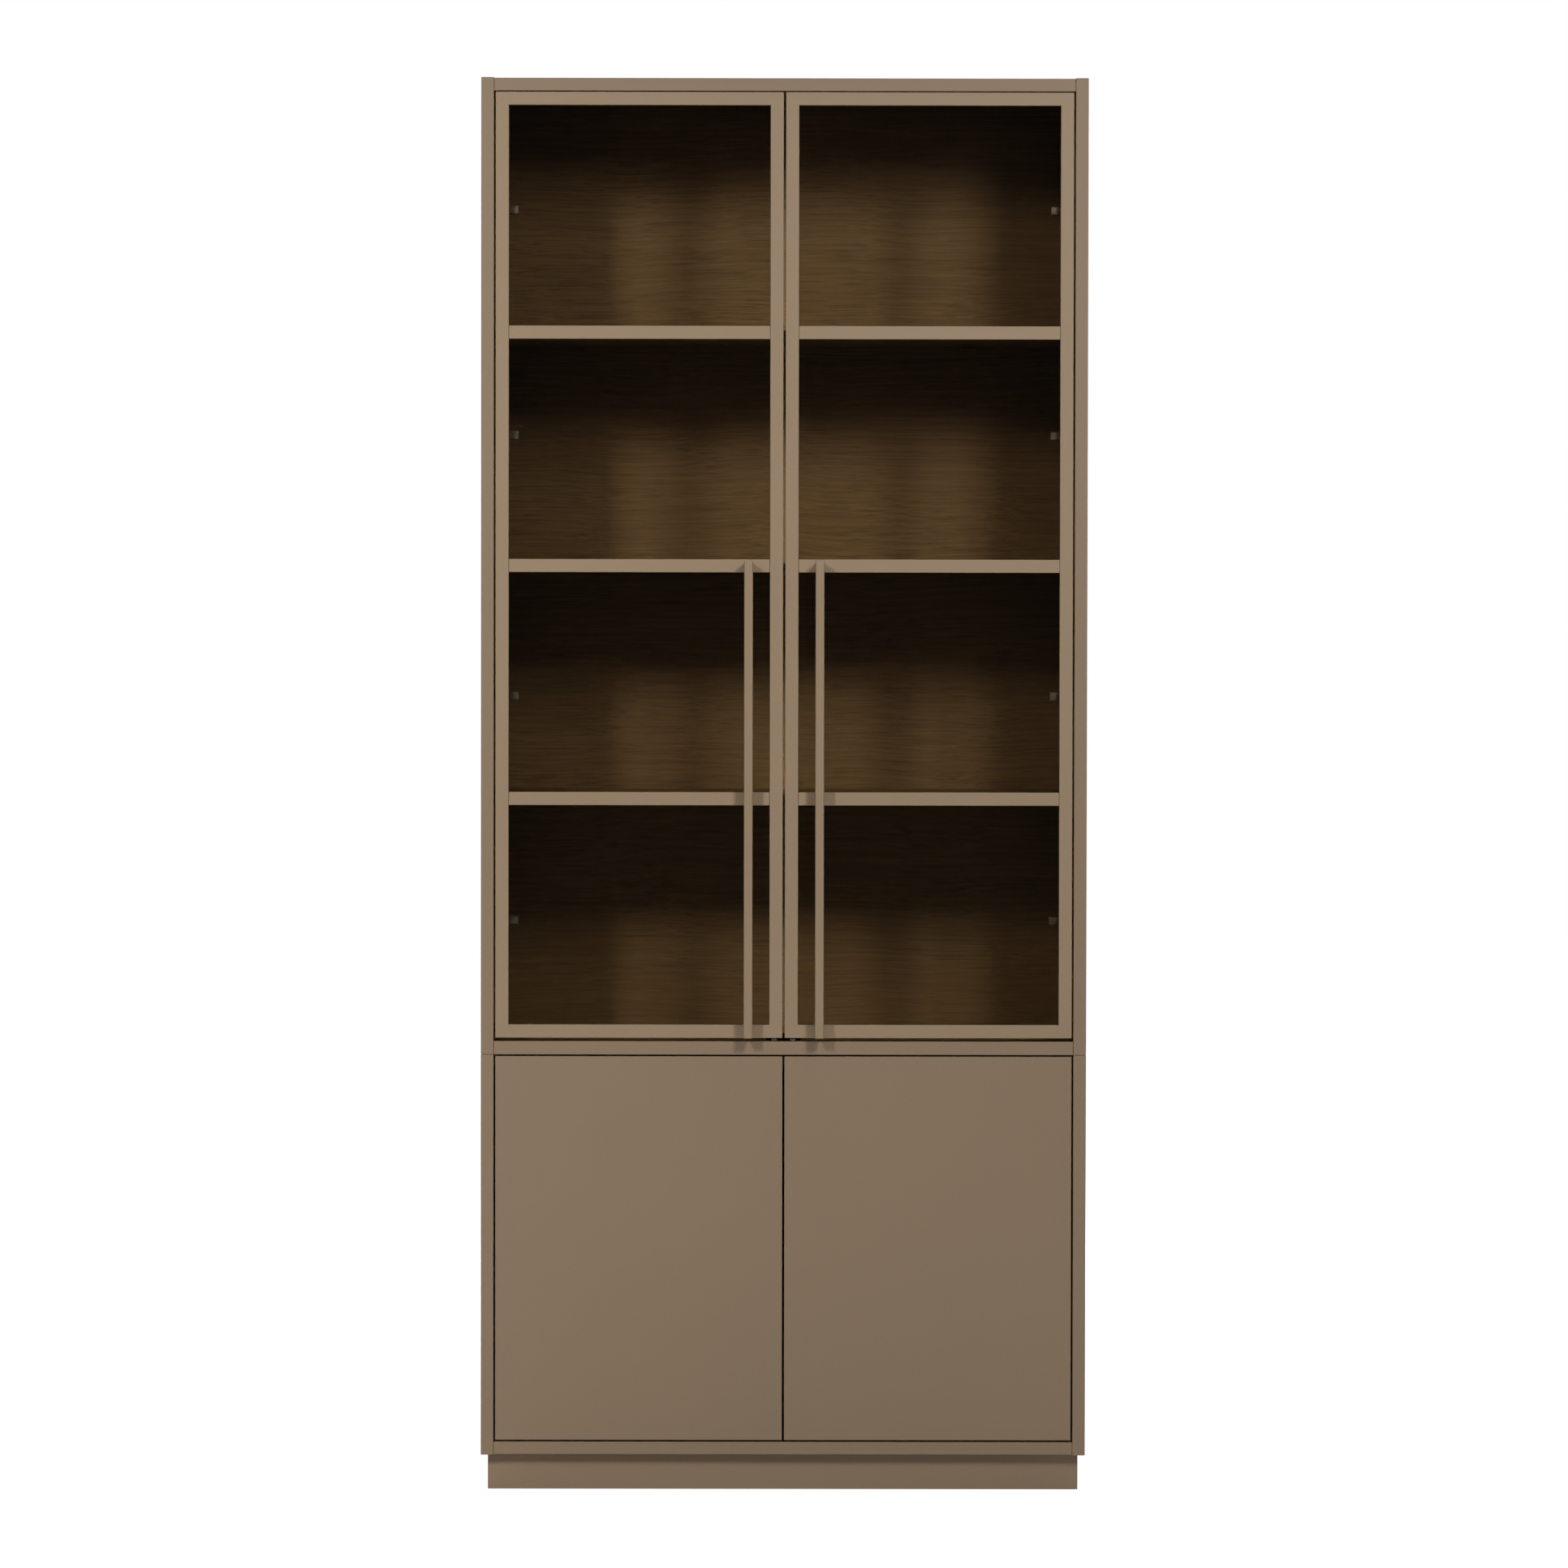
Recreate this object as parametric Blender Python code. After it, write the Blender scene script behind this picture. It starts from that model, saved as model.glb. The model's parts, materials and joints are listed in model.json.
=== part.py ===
"""A tall display cabinet: a glazed upper unit with two glass doors on a base unit with two plain doors.

Metres, +Z up. The doors face -Y. The origin is on the floor, midway between the front of the handles
and the rear of the side panels.
"""

import math

import bmesh
import bpy
from mathutils import Matrix, Vector

# Overall size
WIDTH = 0.900
HEIGHT = 2.100
DEPTH = 0.400
BASE_HEIGHT = 0.650

# Clearance between pieces that touch
FIT = 0.0003

# Carcass boards
BOARD = 0.019
EDGE = 0.0006
SIDE_PROUD = 0.001
MIDDLE_BOARD = 0.020
BACK_THICKNESS = 0.008
BACK_SETBACK = 0.025
GROOVE_DEPTH = 0.008
SHELF_THICKNESS = 0.014
SHELF_SETBACK = 0.040
BASE_SHELF_SETBACK = 0.060

# Plinth
PLINTH_HEIGHT = 0.053
PLINTH_SIDE_INSET = 0.010
PLINTH_SETBACK = 0.020

# Gaps round the doors
DOOR_GAP = 0.0025
GLASS_DOOR_LIFT = 0.0050
GLASS_TOP_GAP = 0.0015
GLASS_MEETING_GAP = 0.0034
BASE_MEETING_GAP = 0.0030

# Glass doors
FRAME_FACE = 0.0195
FRAME_DEPTH = 0.020
FRAME_LIP = 0.0097
GLASS_LAP = 0.0065
GLASS_THICKNESS = 0.004
BAR_FACE = 0.0195
BAR_COUNT = 3

# Handles
HANDLE_WIDTH = 0.013
HANDLE_THICKNESS = 0.012
FINGER_GAP = 0.022
HANDLE_OFFSET = 0.0529
HANDLE_TAIL = 0.00275
POST_HEIGHT = 0.012
HANDLE_EDGE = 0.0025
HANDLE_EDGE_STEPS = 2

# Hinges of the glass doors
HINGE_END = 0.174
HINGE_STEP = 0.334
HINGE_REACH = 0.036
HINGE_HEIGHT = 0.012
CUP_DEPTH = 0.011
CUP_FLANGE_HEIGHT = 0.036
CUP_EDGE_INSET = 0.001

# Arms of all the hinges, along the side panel
ARM_NOSE = 0.012
ARM_TAPER = 0.016
ARM_LENGTH = 0.062
ARM_STEM = 0.015

# Base doors and their hinges
BASE_DOOR = 0.019
BASE_HINGE_END = 0.095
BASE_CUP_RADIUS = 0.0175
BASE_CUP_WALL = 0.0015
BASE_CUP_SINK = 0.0115
BASE_CUP_EDGE = 0.0050
BASE_FLANGE = 0.0015
BASE_FLANGE_HEIGHT = 0.062
BASE_FLANGE_WIDTH = 0.017

# Push latches of the base doors
LATCH_OFFSET = 0.030
LATCH_SIZE = 0.015
LATCH_LENGTH = 0.076
PLUNGER_RADIUS = 0.0035
PLUNGER_LENGTH = 0.046
LATCH_BORE_LENGTH = 0.050
BUFFER_RADIUS = 0.0050
BUFFER_LENGTH = 0.004

# Twin magnetic catch under the glass doors
CATCH_SPACING = 0.0276
CATCH_PRONG_WIDTH = 0.009
CATCH_PRONG_SETBACK = 0.002
CATCH_BODY_WIDTH = 0.052
CATCH_BODY_DEPTH = 0.016
CATCH_BODY_HEIGHT = 0.010
CATCH_HEADROOM = 0.0006

ROUND_SIDES = 24

SIDES = {"left": -1, "right": 1}

# Places that follow from the sizes
INNER = WIDTH / 2 - BOARD
HANDLE_REACH = FINGER_GAP + HANDLE_THICKNESS
FRONT = (HANDLE_REACH - DEPTH) / 2
REAR = FRONT + DEPTH
BACK_FACE = REAR - BACK_SETBACK - BACK_THICKNESS
BOARD_REAR = BACK_FACE - FIT

UPPER_BOTTOM = BASE_HEIGHT + FIT
TOP_BOARD_TOP = HEIGHT - SIDE_PROUD
TOP_BOARD_BOTTOM = TOP_BOARD_TOP - BOARD
MIDDLE_TOP = UPPER_BOTTOM + MIDDLE_BOARD
FLOOR_BOARD_BOTTOM = PLINTH_HEIGHT + SIDE_PROUD
FLOOR_BOARD_TOP = FLOOR_BOARD_BOTTOM + BOARD
BASE_LID_BOTTOM = BASE_HEIGHT - BOARD

HINGE_AXIS = INNER - DOOR_GAP / 2
DOOR_EDGE = INNER - DOOR_GAP

GLASS_DOOR_BOTTOM = MIDDLE_TOP + GLASS_DOOR_LIFT
GLASS_DOOR_TOP = TOP_BOARD_BOTTOM - GLASS_TOP_GAP
PANE_HEIGHT = (
    GLASS_DOOR_TOP - GLASS_DOOR_BOTTOM - 2 * FRAME_FACE - BAR_COUNT * BAR_FACE
) / (BAR_COUNT + 1)
BAR_BOTTOMS = [
    GLASS_DOOR_BOTTOM + FRAME_FACE + PANE_HEIGHT + k * (BAR_FACE + PANE_HEIGHT) for k in range(BAR_COUNT)
]

BASE_DOOR_BOTTOM = FLOOR_BOARD_TOP + DOOR_GAP
BASE_DOOR_TOP = UPPER_BOTTOM - DOOR_GAP
BASE_DOOR_REAR = FRONT + BASE_DOOR


def clear_scene():
    for item in list(bpy.data.objects):
        bpy.data.objects.remove(item, do_unlink=True)


def make_finish(name, colour, roughness, metallic=0.0, transmission=0.0):
    material = bpy.data.materials.new(name)
    material.use_nodes = True
    shader = material.node_tree.nodes["Principled BSDF"]
    shader.inputs["Base Color"].default_value = (*colour, 1.0)
    shader.inputs["Roughness"].default_value = roughness
    shader.inputs["Metallic"].default_value = metallic
    shader.inputs["Transmission Weight"].default_value = transmission
    return material


def make_finishes():
    return {
        "lacquer": make_finish("taupe_lacquer", (0.27, 0.20, 0.14), 0.55),
        "oak": make_finish("oak_veneer", (0.30, 0.19, 0.09), 0.60),
        "glass": make_finish("bronze_glass", (0.45, 0.36, 0.27), 0.02, transmission=1.0),
        "steel": make_finish("hinge_steel", (0.21, 0.20, 0.185), 0.55, metallic=1.0),
        "plastic": make_finish("dark_plastic", (0.03, 0.03, 0.03), 0.50),
    }


def add_axis(name, place):
    """An empty on a moving piece's axis. The pieces that move together hang on it."""
    axis = bpy.data.objects.new(name, None)
    bpy.context.scene.collection.objects.link(axis)
    axis.location = place
    axis.empty_display_size = 0.05
    return axis


def add_piece(name, bm, material, place, parent=None):
    """The finished shape as an object at its place in the cabinet."""
    bmesh.ops.recalc_face_normals(bm, faces=bm.faces)
    mesh = bpy.data.meshes.new(name)
    bm.to_mesh(mesh)
    bm.free()
    mesh.materials.append(material)
    piece = bpy.data.objects.new(name, mesh)
    bpy.context.scene.collection.objects.link(piece)
    piece.location = place
    if parent:
        piece.parent = parent
        piece.location = Vector(place) - parent.location
    return piece


def soften(piece, width, steps=1):
    """Break the sharp edges, as a sanded and lacquered board has them."""
    bevel = piece.modifiers.new("broken_edges", "BEVEL")
    bevel.limit_method = "ANGLE"
    bevel.width = width
    bevel.segments = steps
    return piece


def smooth(piece, sharpest=math.radians(40)):
    piece.data.shade_smooth()
    piece.data.set_sharp_from_angle(angle=sharpest)
    return piece


def combine(piece, helper, operation):
    """Join a helper shape to a piece or cut it away. The helper itself isn't part of the cabinet."""
    helper.hide_render = True
    helper.display_type = "WIRE"
    step = piece.modifiers.new(helper.name, "BOOLEAN")
    step.operation = operation
    step.object = helper
    return piece


def add_box(name, material, x, y, z, parent=None):
    """A block between pairs of limits, given in any order."""
    low = Vector((min(x), min(y), min(z)))
    high = Vector((max(x), max(y), max(z)))
    bm = bmesh.new()
    bmesh.ops.create_cube(bm, size=1.0)
    bmesh.ops.scale(bm, vec=high - low, verts=bm.verts)
    return add_piece(name, bm, material, (low + high) / 2, parent)


def add_board(name, material, x, y, z, parent=None):
    return soften(add_box(name, material, x, y, z, parent), EDGE)


def add_prism(name, material, outline, push, place, parent=None):
    """A flat outline, measured from its place, pushed out into a solid."""
    bm = bmesh.new()
    start = bm.faces.new([bm.verts.new(point) for point in outline])
    pushed = bmesh.ops.extrude_face_region(bm, geom=[start])
    moved = [item for item in pushed["geom"] if isinstance(item, bmesh.types.BMVert)]
    bmesh.ops.translate(bm, vec=push, verts=moved)
    return add_piece(name, bm, material, place, parent)


def add_rod(name, material, radius, y, x, z, parent=None):
    """A round bar along Y between two limits."""
    bm = bmesh.new()
    length = max(y) - min(y)
    bmesh.ops.create_cone(
        bm, cap_ends=True, segments=ROUND_SIDES, radius1=radius, radius2=radius, depth=length
    )
    bmesh.ops.rotate(bm, verts=bm.verts, matrix=Matrix.Rotation(math.pi / 2, 3, "X"))
    return smooth(add_piece(name, bm, material, (x, (y[0] + y[1]) / 2, z), parent))


def add_ring(name, material, x, z, profile, parent=None):
    """A mitred rectangular frame. Each profile point is (distance in from the outer edge, Y)."""
    bm = bmesh.new()
    place = Vector(((x[0] + x[1]) / 2, FRONT, (z[0] + z[1]) / 2))
    half_width = abs(x[1] - x[0]) / 2
    half_height = abs(z[1] - z[0]) / 2
    loops = []
    for inset, y in profile:
        right = half_width - inset
        top = half_height - inset
        corners = [(-right, -top), (right, -top), (right, top), (-right, top)]
        loops.append([bm.verts.new((cx, y - FRONT, cz)) for cx, cz in corners])
    for loop, following in zip(loops, loops[1:] + loops[:1]):
        for k in range(4):
            after = (k + 1) % 4
            bm.faces.new((loop[k], loop[after], following[after], following[k]))
    return add_piece(name, bm, material, place, parent)


def make_side(name, material, side, z):
    """A side panel with the back panel's groove down its inner face."""
    groove_front = BACK_FACE - FIT
    groove_rear = BACK_FACE + BACK_THICKNESS + FIT
    inner = side * INNER
    outer = side * WIDTH / 2
    floor = inner + side * GROOVE_DEPTH
    plan = [
        (outer, FRONT),
        (inner, FRONT),
        (inner, groove_front),
        (floor, groove_front),
        (floor, groove_rear),
        (inner, groove_rear),
        (inner, REAR),
        (outer, REAR),
    ]
    outline = [(x, y, 0) for x, y in plan]
    panel = add_prism(name, material, outline, (0, 0, z[1] - z[0]), (0, 0, z[0]))
    return soften(panel, EDGE)


def make_carcass(finish):
    lacquer = finish["lacquer"]
    oak = finish["oak"]
    between = (-INNER + FIT, INNER - FIT)
    for word, side in SIDES.items():
        make_side(f"upper_side_{word}", lacquer, side, (UPPER_BOTTOM, HEIGHT))
        make_side(f"base_side_{word}", lacquer, side, (PLINTH_HEIGHT, BASE_HEIGHT))
    to_back = (FRONT, BOARD_REAR)
    behind_doors = (BASE_DOOR_REAR + DOOR_GAP, BOARD_REAR)
    add_board("top_board", lacquer, between, to_back, (TOP_BOARD_BOTTOM, TOP_BOARD_TOP))
    add_board("middle_board", lacquer, between, to_back, (UPPER_BOTTOM, MIDDLE_TOP))
    add_board("base_bottom_board", lacquer, between, to_back, (FLOOR_BOARD_BOTTOM, FLOOR_BOARD_TOP))
    add_board("base_top_board", lacquer, between, behind_doors, (BASE_LID_BOTTOM, BASE_HEIGHT))
    in_grooves = (-INNER - GROOVE_DEPTH + FIT, INNER + GROOVE_DEPTH - FIT)
    back = (BACK_FACE, BACK_FACE + BACK_THICKNESS)
    add_box("upper_back_panel", oak, in_grooves, back, (UPPER_BOTTOM, TOP_BOARD_TOP))
    add_box("base_back_panel", oak, in_grooves, back, (FLOOR_BOARD_BOTTOM, BASE_HEIGHT))
    shelf_y = (FRONT + SHELF_SETBACK, BOARD_REAR)
    for word, low in zip(("lower", "middle", "upper"), BAR_BOTTOMS):
        add_board(f"{word}_shelf", oak, between, shelf_y, (low, low + SHELF_THICKNESS))
    base_middle = (FLOOR_BOARD_TOP + BASE_LID_BOTTOM) / 2
    base_shelf_y = (FRONT + BASE_SHELF_SETBACK, BOARD_REAR)
    base_shelf_z = (base_middle - SHELF_THICKNESS / 2, base_middle + SHELF_THICKNESS / 2)
    add_board("base_shelf", oak, between, base_shelf_y, base_shelf_z)


def make_plinth(finish):
    lacquer = finish["lacquer"]
    outer = WIDTH / 2 - PLINTH_SIDE_INSET
    front = FRONT + PLINTH_SETBACK
    z = (0, PLINTH_HEIGHT - FIT)
    add_board("plinth_front", lacquer, (-outer, outer), (front, front + BOARD), z)
    for word, side in SIDES.items():
        x = (side * outer, side * (outer - BOARD))
        add_board(f"plinth_{word}", lacquer, x, (front + BOARD + FIT, REAR), z)


def make_arm(name, material, side, front, z):
    """The fixed arm of a hinge: a nose towards the door and a stem along the side panel."""
    reach = HINGE_REACH
    waist = front + ARM_NOSE
    shoulder = waist + ARM_TAPER
    plan = [
        (FIT, front),
        (reach, front),
        (reach, waist),
        (ARM_STEM, shoulder),
        (ARM_STEM, front + ARM_LENGTH),
        (FIT, front + ARM_LENGTH),
    ]
    outline = [(-side * across, y, 0) for across, y in plan]
    place = (side * INNER, 0, z - HINGE_HEIGHT / 2)
    arm = add_prism(name, material, outline, (0, 0, HINGE_HEIGHT), place)
    return soften(arm, EDGE)


def make_frame_cup(name, material, side, z, parent):
    """The door half of a glass door's hinge: a tall flange on the stile and a nose behind the glass."""
    rear = FRONT + FRAME_DEPTH + FIT
    near = CUP_EDGE_INSET
    neck = FRAME_FACE - GLASS_LAP
    far = HINGE_REACH - DOOR_GAP
    tall = CUP_FLANGE_HEIGHT / 2
    low = HINGE_HEIGHT / 2
    face = [
        (near, -tall),
        (neck, -tall),
        (neck, -low),
        (far, -low),
        (far, low),
        (neck, low),
        (neck, tall),
        (near, tall),
    ]
    outline = [(-side * across, 0, up) for across, up in face]
    place = (side * DOOR_EDGE, rear, z)
    cup = add_prism(name, material, outline, (0, CUP_DEPTH, 0), place, parent)
    return soften(cup, EDGE)


def make_handle(name, material, side, posts, parent):
    """A flat bar with rounded edges on posts that stand on the door's bars and bottom rail."""
    half_post = POST_HEIGHT / 2
    bottom = posts[0] - half_post - HANDLE_TAIL
    top = posts[-1] + half_post + HANDLE_TAIL
    bar_front = -HANDLE_REACH
    bar_rear = -FINGER_GAP
    foot = -FIT
    comb = [(bar_front, top), (bar_front, bottom), (bar_rear, bottom)]
    for post in posts:
        comb += [(bar_rear, post - half_post), (foot, post - half_post)]
        comb += [(foot, post + half_post), (bar_rear, post + half_post)]
    comb.append((bar_rear, top))
    outline = [(0, y, z - bottom) for y, z in comb]
    left = side * HANDLE_OFFSET - HANDLE_WIDTH / 2
    handle = add_prism(name, material, outline, (HANDLE_WIDTH, 0, 0), (left, FRONT, bottom), parent)
    return smooth(soften(handle, HANDLE_EDGE, HANDLE_EDGE_STEPS))


def make_glass_door(finish, word, side):
    lacquer = finish["lacquer"]
    axis = add_axis(f"{word}_glass_door_axis", (side * HINGE_AXIS, FRONT, 0))
    x = sorted((side * DOOR_EDGE, side * GLASS_MEETING_GAP / 2))
    z = (GLASS_DOOR_BOTTOM, GLASS_DOOR_TOP)
    lip = FRONT + FRAME_LIP
    rear = FRONT + FRAME_DEPTH
    leg = FRAME_FACE - GLASS_LAP
    profile = [
        (0, FRONT + EDGE),
        (EDGE, FRONT),
        (FRAME_FACE - EDGE, FRONT),
        (FRAME_FACE, FRONT + EDGE),
        (FRAME_FACE, lip),
        (leg, lip),
        (leg, rear),
        (0, rear),
    ]
    add_ring(f"{word}_door_frame", lacquer, x, z, profile, axis)
    bar_x = (x[0] + FRAME_FACE + FIT, x[1] - FRAME_FACE - FIT)
    for bar_word, low in zip(("lower", "middle", "upper"), BAR_BOTTOMS):
        name = f"{word}_door_{bar_word}_bar"
        add_board(name, lacquer, bar_x, (FRONT, lip), (low, low + BAR_FACE), axis)
    lap = leg + FIT
    glass_y = (lip + FIT, lip + FIT + GLASS_THICKNESS)
    pane_x = (x[0] + lap, x[1] - lap)
    add_box(f"{word}_door_pane", finish["glass"], pane_x, glass_y, (z[0] + lap, z[1] - lap), axis)
    bar_middles = [low + BAR_FACE / 2 for low in BAR_BOTTOMS[:2]]
    posts = [GLASS_DOOR_BOTTOM + FRAME_FACE / 2, *bar_middles]
    make_handle(f"{word}_door_handle", lacquer, side, posts, axis)
    arm_front = rear + FIT + CUP_DEPTH + FIT
    near_ends = (GLASS_DOOR_BOTTOM + HINGE_END, GLASS_DOOR_TOP - HINGE_END)
    heights = [near_ends[0], near_ends[0] + HINGE_STEP, near_ends[1] - HINGE_STEP, near_ends[1]]
    for number, height in enumerate(heights, start=1):
        make_frame_cup(f"{word}_door_hinge_cup_{number}", finish["steel"], side, height, axis)
        make_arm(f"{word}_hinge_arm_{number}", finish["steel"], side, arm_front, height)


def make_base_cup(name, material, side, z, parent):
    """A hollow round cup sunk in the door, with its screw flange on the door's rear face."""
    centre = side * (DOOR_EDGE - BASE_CUP_EDGE - BASE_CUP_RADIUS)
    flange_y = (BASE_DOOR_REAR + FIT, BASE_DOOR_REAR + FIT + BASE_FLANGE)
    bottom = BASE_DOOR_REAR - BASE_CUP_SINK
    x = (centre - BASE_FLANGE_WIDTH / 2, centre + BASE_FLANGE_WIDTH / 2)
    flange_z = (z - BASE_FLANGE_HEIGHT / 2, z + BASE_FLANGE_HEIGHT / 2)
    cup = add_box(name, material, x, flange_y, flange_z, parent)
    body_y = (bottom, flange_y[1])
    body = add_rod(f"{name}_body", material, BASE_CUP_RADIUS, body_y, centre, z, parent)
    combine(cup, body, "UNION")
    hollow_y = (bottom + BASE_CUP_WALL, flange_y[1] + BASE_FLANGE)
    hollow_radius = BASE_CUP_RADIUS - BASE_CUP_WALL
    hollow = add_rod(f"{name}_hollow", material, hollow_radius, hollow_y, centre, z, parent)
    return combine(cup, hollow, "DIFFERENCE")


def make_base_door(finish, word, side):
    lacquer = finish["lacquer"]
    steel = finish["steel"]
    axis = add_axis(f"{word}_base_door_axis", (side * HINGE_AXIS, FRONT, 0))
    x = (side * DOOR_EDGE, side * BASE_MEETING_GAP / 2)
    z = (BASE_DOOR_BOTTOM, BASE_DOOR_TOP)
    door = add_board(f"{word}_base_door", lacquer, x, (FRONT, BASE_DOOR_REAR), z, axis)
    arm_front = BASE_DOOR_REAR + FIT + BASE_FLANGE + FIT
    bore_radius = BASE_CUP_RADIUS + FIT
    bore_x = side * (DOOR_EDGE - BASE_CUP_EDGE - BASE_CUP_RADIUS)
    bore_y = (BASE_DOOR_REAR - BASE_CUP_SINK - FIT, BASE_DOOR_REAR + BASE_FLANGE)
    for number, height in enumerate((z[0] + BASE_HINGE_END, z[1] - BASE_HINGE_END), start=1):
        bore = add_rod(f"{word}_cup_bore_{number}", lacquer, bore_radius, bore_y, bore_x, height, axis)
        combine(door, bore, "DIFFERENCE")
        make_base_cup(f"{word}_base_hinge_cup_{number}", steel, side, height, axis)
        make_arm(f"{word}_base_hinge_arm_{number}", steel, side, arm_front, height)


def make_push_latch(finish, word, side):
    """A latch under the base unit's top board. Its plunger pushes the door open."""
    plastic = finish["plastic"]
    centre = side * LATCH_OFFSET
    top = BASE_LID_BOTTOM - FIT
    z = top - LATCH_SIZE / 2
    tip = BASE_DOOR_REAR + FIT
    shoulder = tip + BUFFER_LENGTH
    front = shoulder + FIT
    half = LATCH_SIZE / 2
    x = (centre - half, centre + half)
    housing = add_board(
        f"{word}_latch_housing", plastic, x, (front, front + LATCH_LENGTH), (top - LATCH_SIZE, top)
    )
    bore_y = (front - FIT, front + LATCH_BORE_LENGTH)
    bore_radius = PLUNGER_RADIUS + FIT
    bore = add_rod(f"{word}_latch_bore", plastic, bore_radius, bore_y, centre, z)
    combine(housing, bore, "DIFFERENCE")
    axis = add_axis(f"{word}_plunger_axis", (centre, tip, z))
    rod_y = (tip, front + PLUNGER_LENGTH)
    plunger = add_rod(f"{word}_latch_plunger", plastic, PLUNGER_RADIUS, rod_y, centre, z, axis)
    buffer_y = (tip, shoulder)
    buffer = add_rod(f"{word}_latch_buffer", plastic, BUFFER_RADIUS, buffer_y, centre, z, axis)
    combine(plunger, buffer, "UNION")


def make_catch(finish):
    """A magnet block on the middle board with two prongs that reach under the glass doors."""
    prong_front = FRONT + CATCH_PRONG_SETBACK
    block_front = FRONT + FRAME_DEPTH + FIT + CUP_DEPTH
    bottom = MIDDLE_TOP + FIT
    prong_top = GLASS_DOOR_BOTTOM - CATCH_HEADROOM
    half = CATCH_BODY_WIDTH / 2
    block_y = (block_front, block_front + CATCH_BODY_DEPTH)
    block_z = (bottom, bottom + CATCH_BODY_HEIGHT)
    plastic = finish["plastic"]
    catch = add_box("magnetic_catch", plastic, (-half, half), block_y, block_z)
    for word, side in SIDES.items():
        middle = side * CATCH_SPACING / 2
        x = (middle - CATCH_PRONG_WIDTH / 2, middle + CATCH_PRONG_WIDTH / 2)
        prong_y = (prong_front, block_front + CATCH_BODY_DEPTH / 2)
        prong = add_box(f"{word}_catch_prong", plastic, x, prong_y, (bottom, prong_top))
        combine(catch, prong, "UNION")


def main():
    clear_scene()
    finish = make_finishes()
    make_carcass(finish)
    make_plinth(finish)
    make_catch(finish)
    for word, side in SIDES.items():
        make_glass_door(finish, word, side)
        make_base_door(finish, word, side)
        make_push_latch(finish, word, side)


main()
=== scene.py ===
"""Looks of a tall display cabinet: finishes, small fittings and a plain studio round its frame."""

import json
import math
from collections import namedtuple

import bmesh
import bpy
from bpy.props import FloatProperty, FloatVectorProperty, IntProperty, PointerProperty
from mathutils import Matrix, Vector


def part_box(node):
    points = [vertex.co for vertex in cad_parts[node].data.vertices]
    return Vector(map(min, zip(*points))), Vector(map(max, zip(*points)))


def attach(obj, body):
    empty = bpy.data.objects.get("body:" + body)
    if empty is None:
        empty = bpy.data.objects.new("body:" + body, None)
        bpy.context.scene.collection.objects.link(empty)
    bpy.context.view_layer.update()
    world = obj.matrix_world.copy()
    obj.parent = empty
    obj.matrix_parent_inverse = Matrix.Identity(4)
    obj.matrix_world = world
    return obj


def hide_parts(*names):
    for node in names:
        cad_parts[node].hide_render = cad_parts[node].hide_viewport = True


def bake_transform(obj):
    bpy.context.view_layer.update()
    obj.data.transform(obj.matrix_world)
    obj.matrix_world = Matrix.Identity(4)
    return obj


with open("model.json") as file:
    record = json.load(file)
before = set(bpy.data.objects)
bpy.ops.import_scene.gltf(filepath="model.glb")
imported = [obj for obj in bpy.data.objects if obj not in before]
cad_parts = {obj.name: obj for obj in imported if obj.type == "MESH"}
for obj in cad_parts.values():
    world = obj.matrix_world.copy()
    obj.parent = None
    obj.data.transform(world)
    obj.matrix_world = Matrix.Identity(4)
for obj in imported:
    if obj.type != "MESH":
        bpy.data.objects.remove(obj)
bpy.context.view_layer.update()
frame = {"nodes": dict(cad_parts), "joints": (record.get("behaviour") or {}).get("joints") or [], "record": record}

bl_info = {
    "name": "Display Cabinet Looks",
    "version": (1, 0, 0),
    "blender": (4, 5, 0),
    "location": "3D View > Sidebar > Cabinet",
    "description": "Finishes, small fittings and a plain studio for a display cabinet",
    "category": "Object",
}

SIDES = {"left": -1, "right": 1}
GLASS_HINGES = range(1, 5)
BASE_HINGES = range(1, 3)
BARS = ("lower", "middle", "upper")

# Gap that touching pieces keep, and the distance at which doubled points merge
TOUCH = 0.0003
MERGE = 0.00001

# Edges that turn by more than this are edges to round
SHARP_ANGLE = math.radians(40)

# A face or an edge lies along an axis if this much of its direction does
ALONG_AXIS = 0.9

# Numbers of the axes
X, Z = 0, 2

MIRROR = Matrix.Scale(-1, 4, (1, 0, 0))
WHITE = (1.0, 1.0, 1.0)
DUST_COLOUR = (0.55, 0.52, 0.48)

# Values that a noise seldom leaves
NOISE_SPAN = (0.3, 0.7)

# Where the background behind the cabinet turns white in mirrors: in the room's directions, and in
# metres on the floor
ROOM_RAMP = 0.35
FLOOR_RAMP = 0.5

# Glow of the floor near the cabinet and far from it, and the distances that it changes between
FLOOR_GLOW = (0.84, 1.0)
FLOOR_GLOW_REACH = (1.0, 3.5)

# Sides of the round floor and of a round screw head
FLOOR_SIDES = 96
SCREW_SIDES = 24

# Width of the camera's sensor in millimetres
SENSOR_WIDTH = 36

# Roundings of the small fittings' edges
ARM_EDGE = 0.0007
PLATE_EDGE = 0.0004
SUPPORT_EDGE = 0.0003
CATCH_EDGE = 0.0008
CHANNEL_EDGE = 0.0003
EAR_EDGE = 0.0004

# Rounded corners of plates, supports and ears, as shares of half their width
PLATE_CORNER = 0.8
SUPPORT_CORNER = 0.7
EAR_CORNER = 0.75

# A screw head's rounding and the floor of its recess, as shares of its height
SCREW_ROUND = 0.7
RECESS_FLOOR = 0.4

# Length and width of a screw's cross recess, as shares of its head's diameter
RECESS_LENGTH = 0.62
RECESS_WIDTH = 0.15

# Distance of a screw from a hinge plate's end, as a share of the plate's length
WING_SCREW = 0.4

# Distance of a screw from the catch's middle, as a share of the catch's width
CATCH_SCREW = 0.36

# Where a link starts in a hinge arm's nose, as a share of the nose's length
LINK_ROOT = 1 / 3

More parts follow.
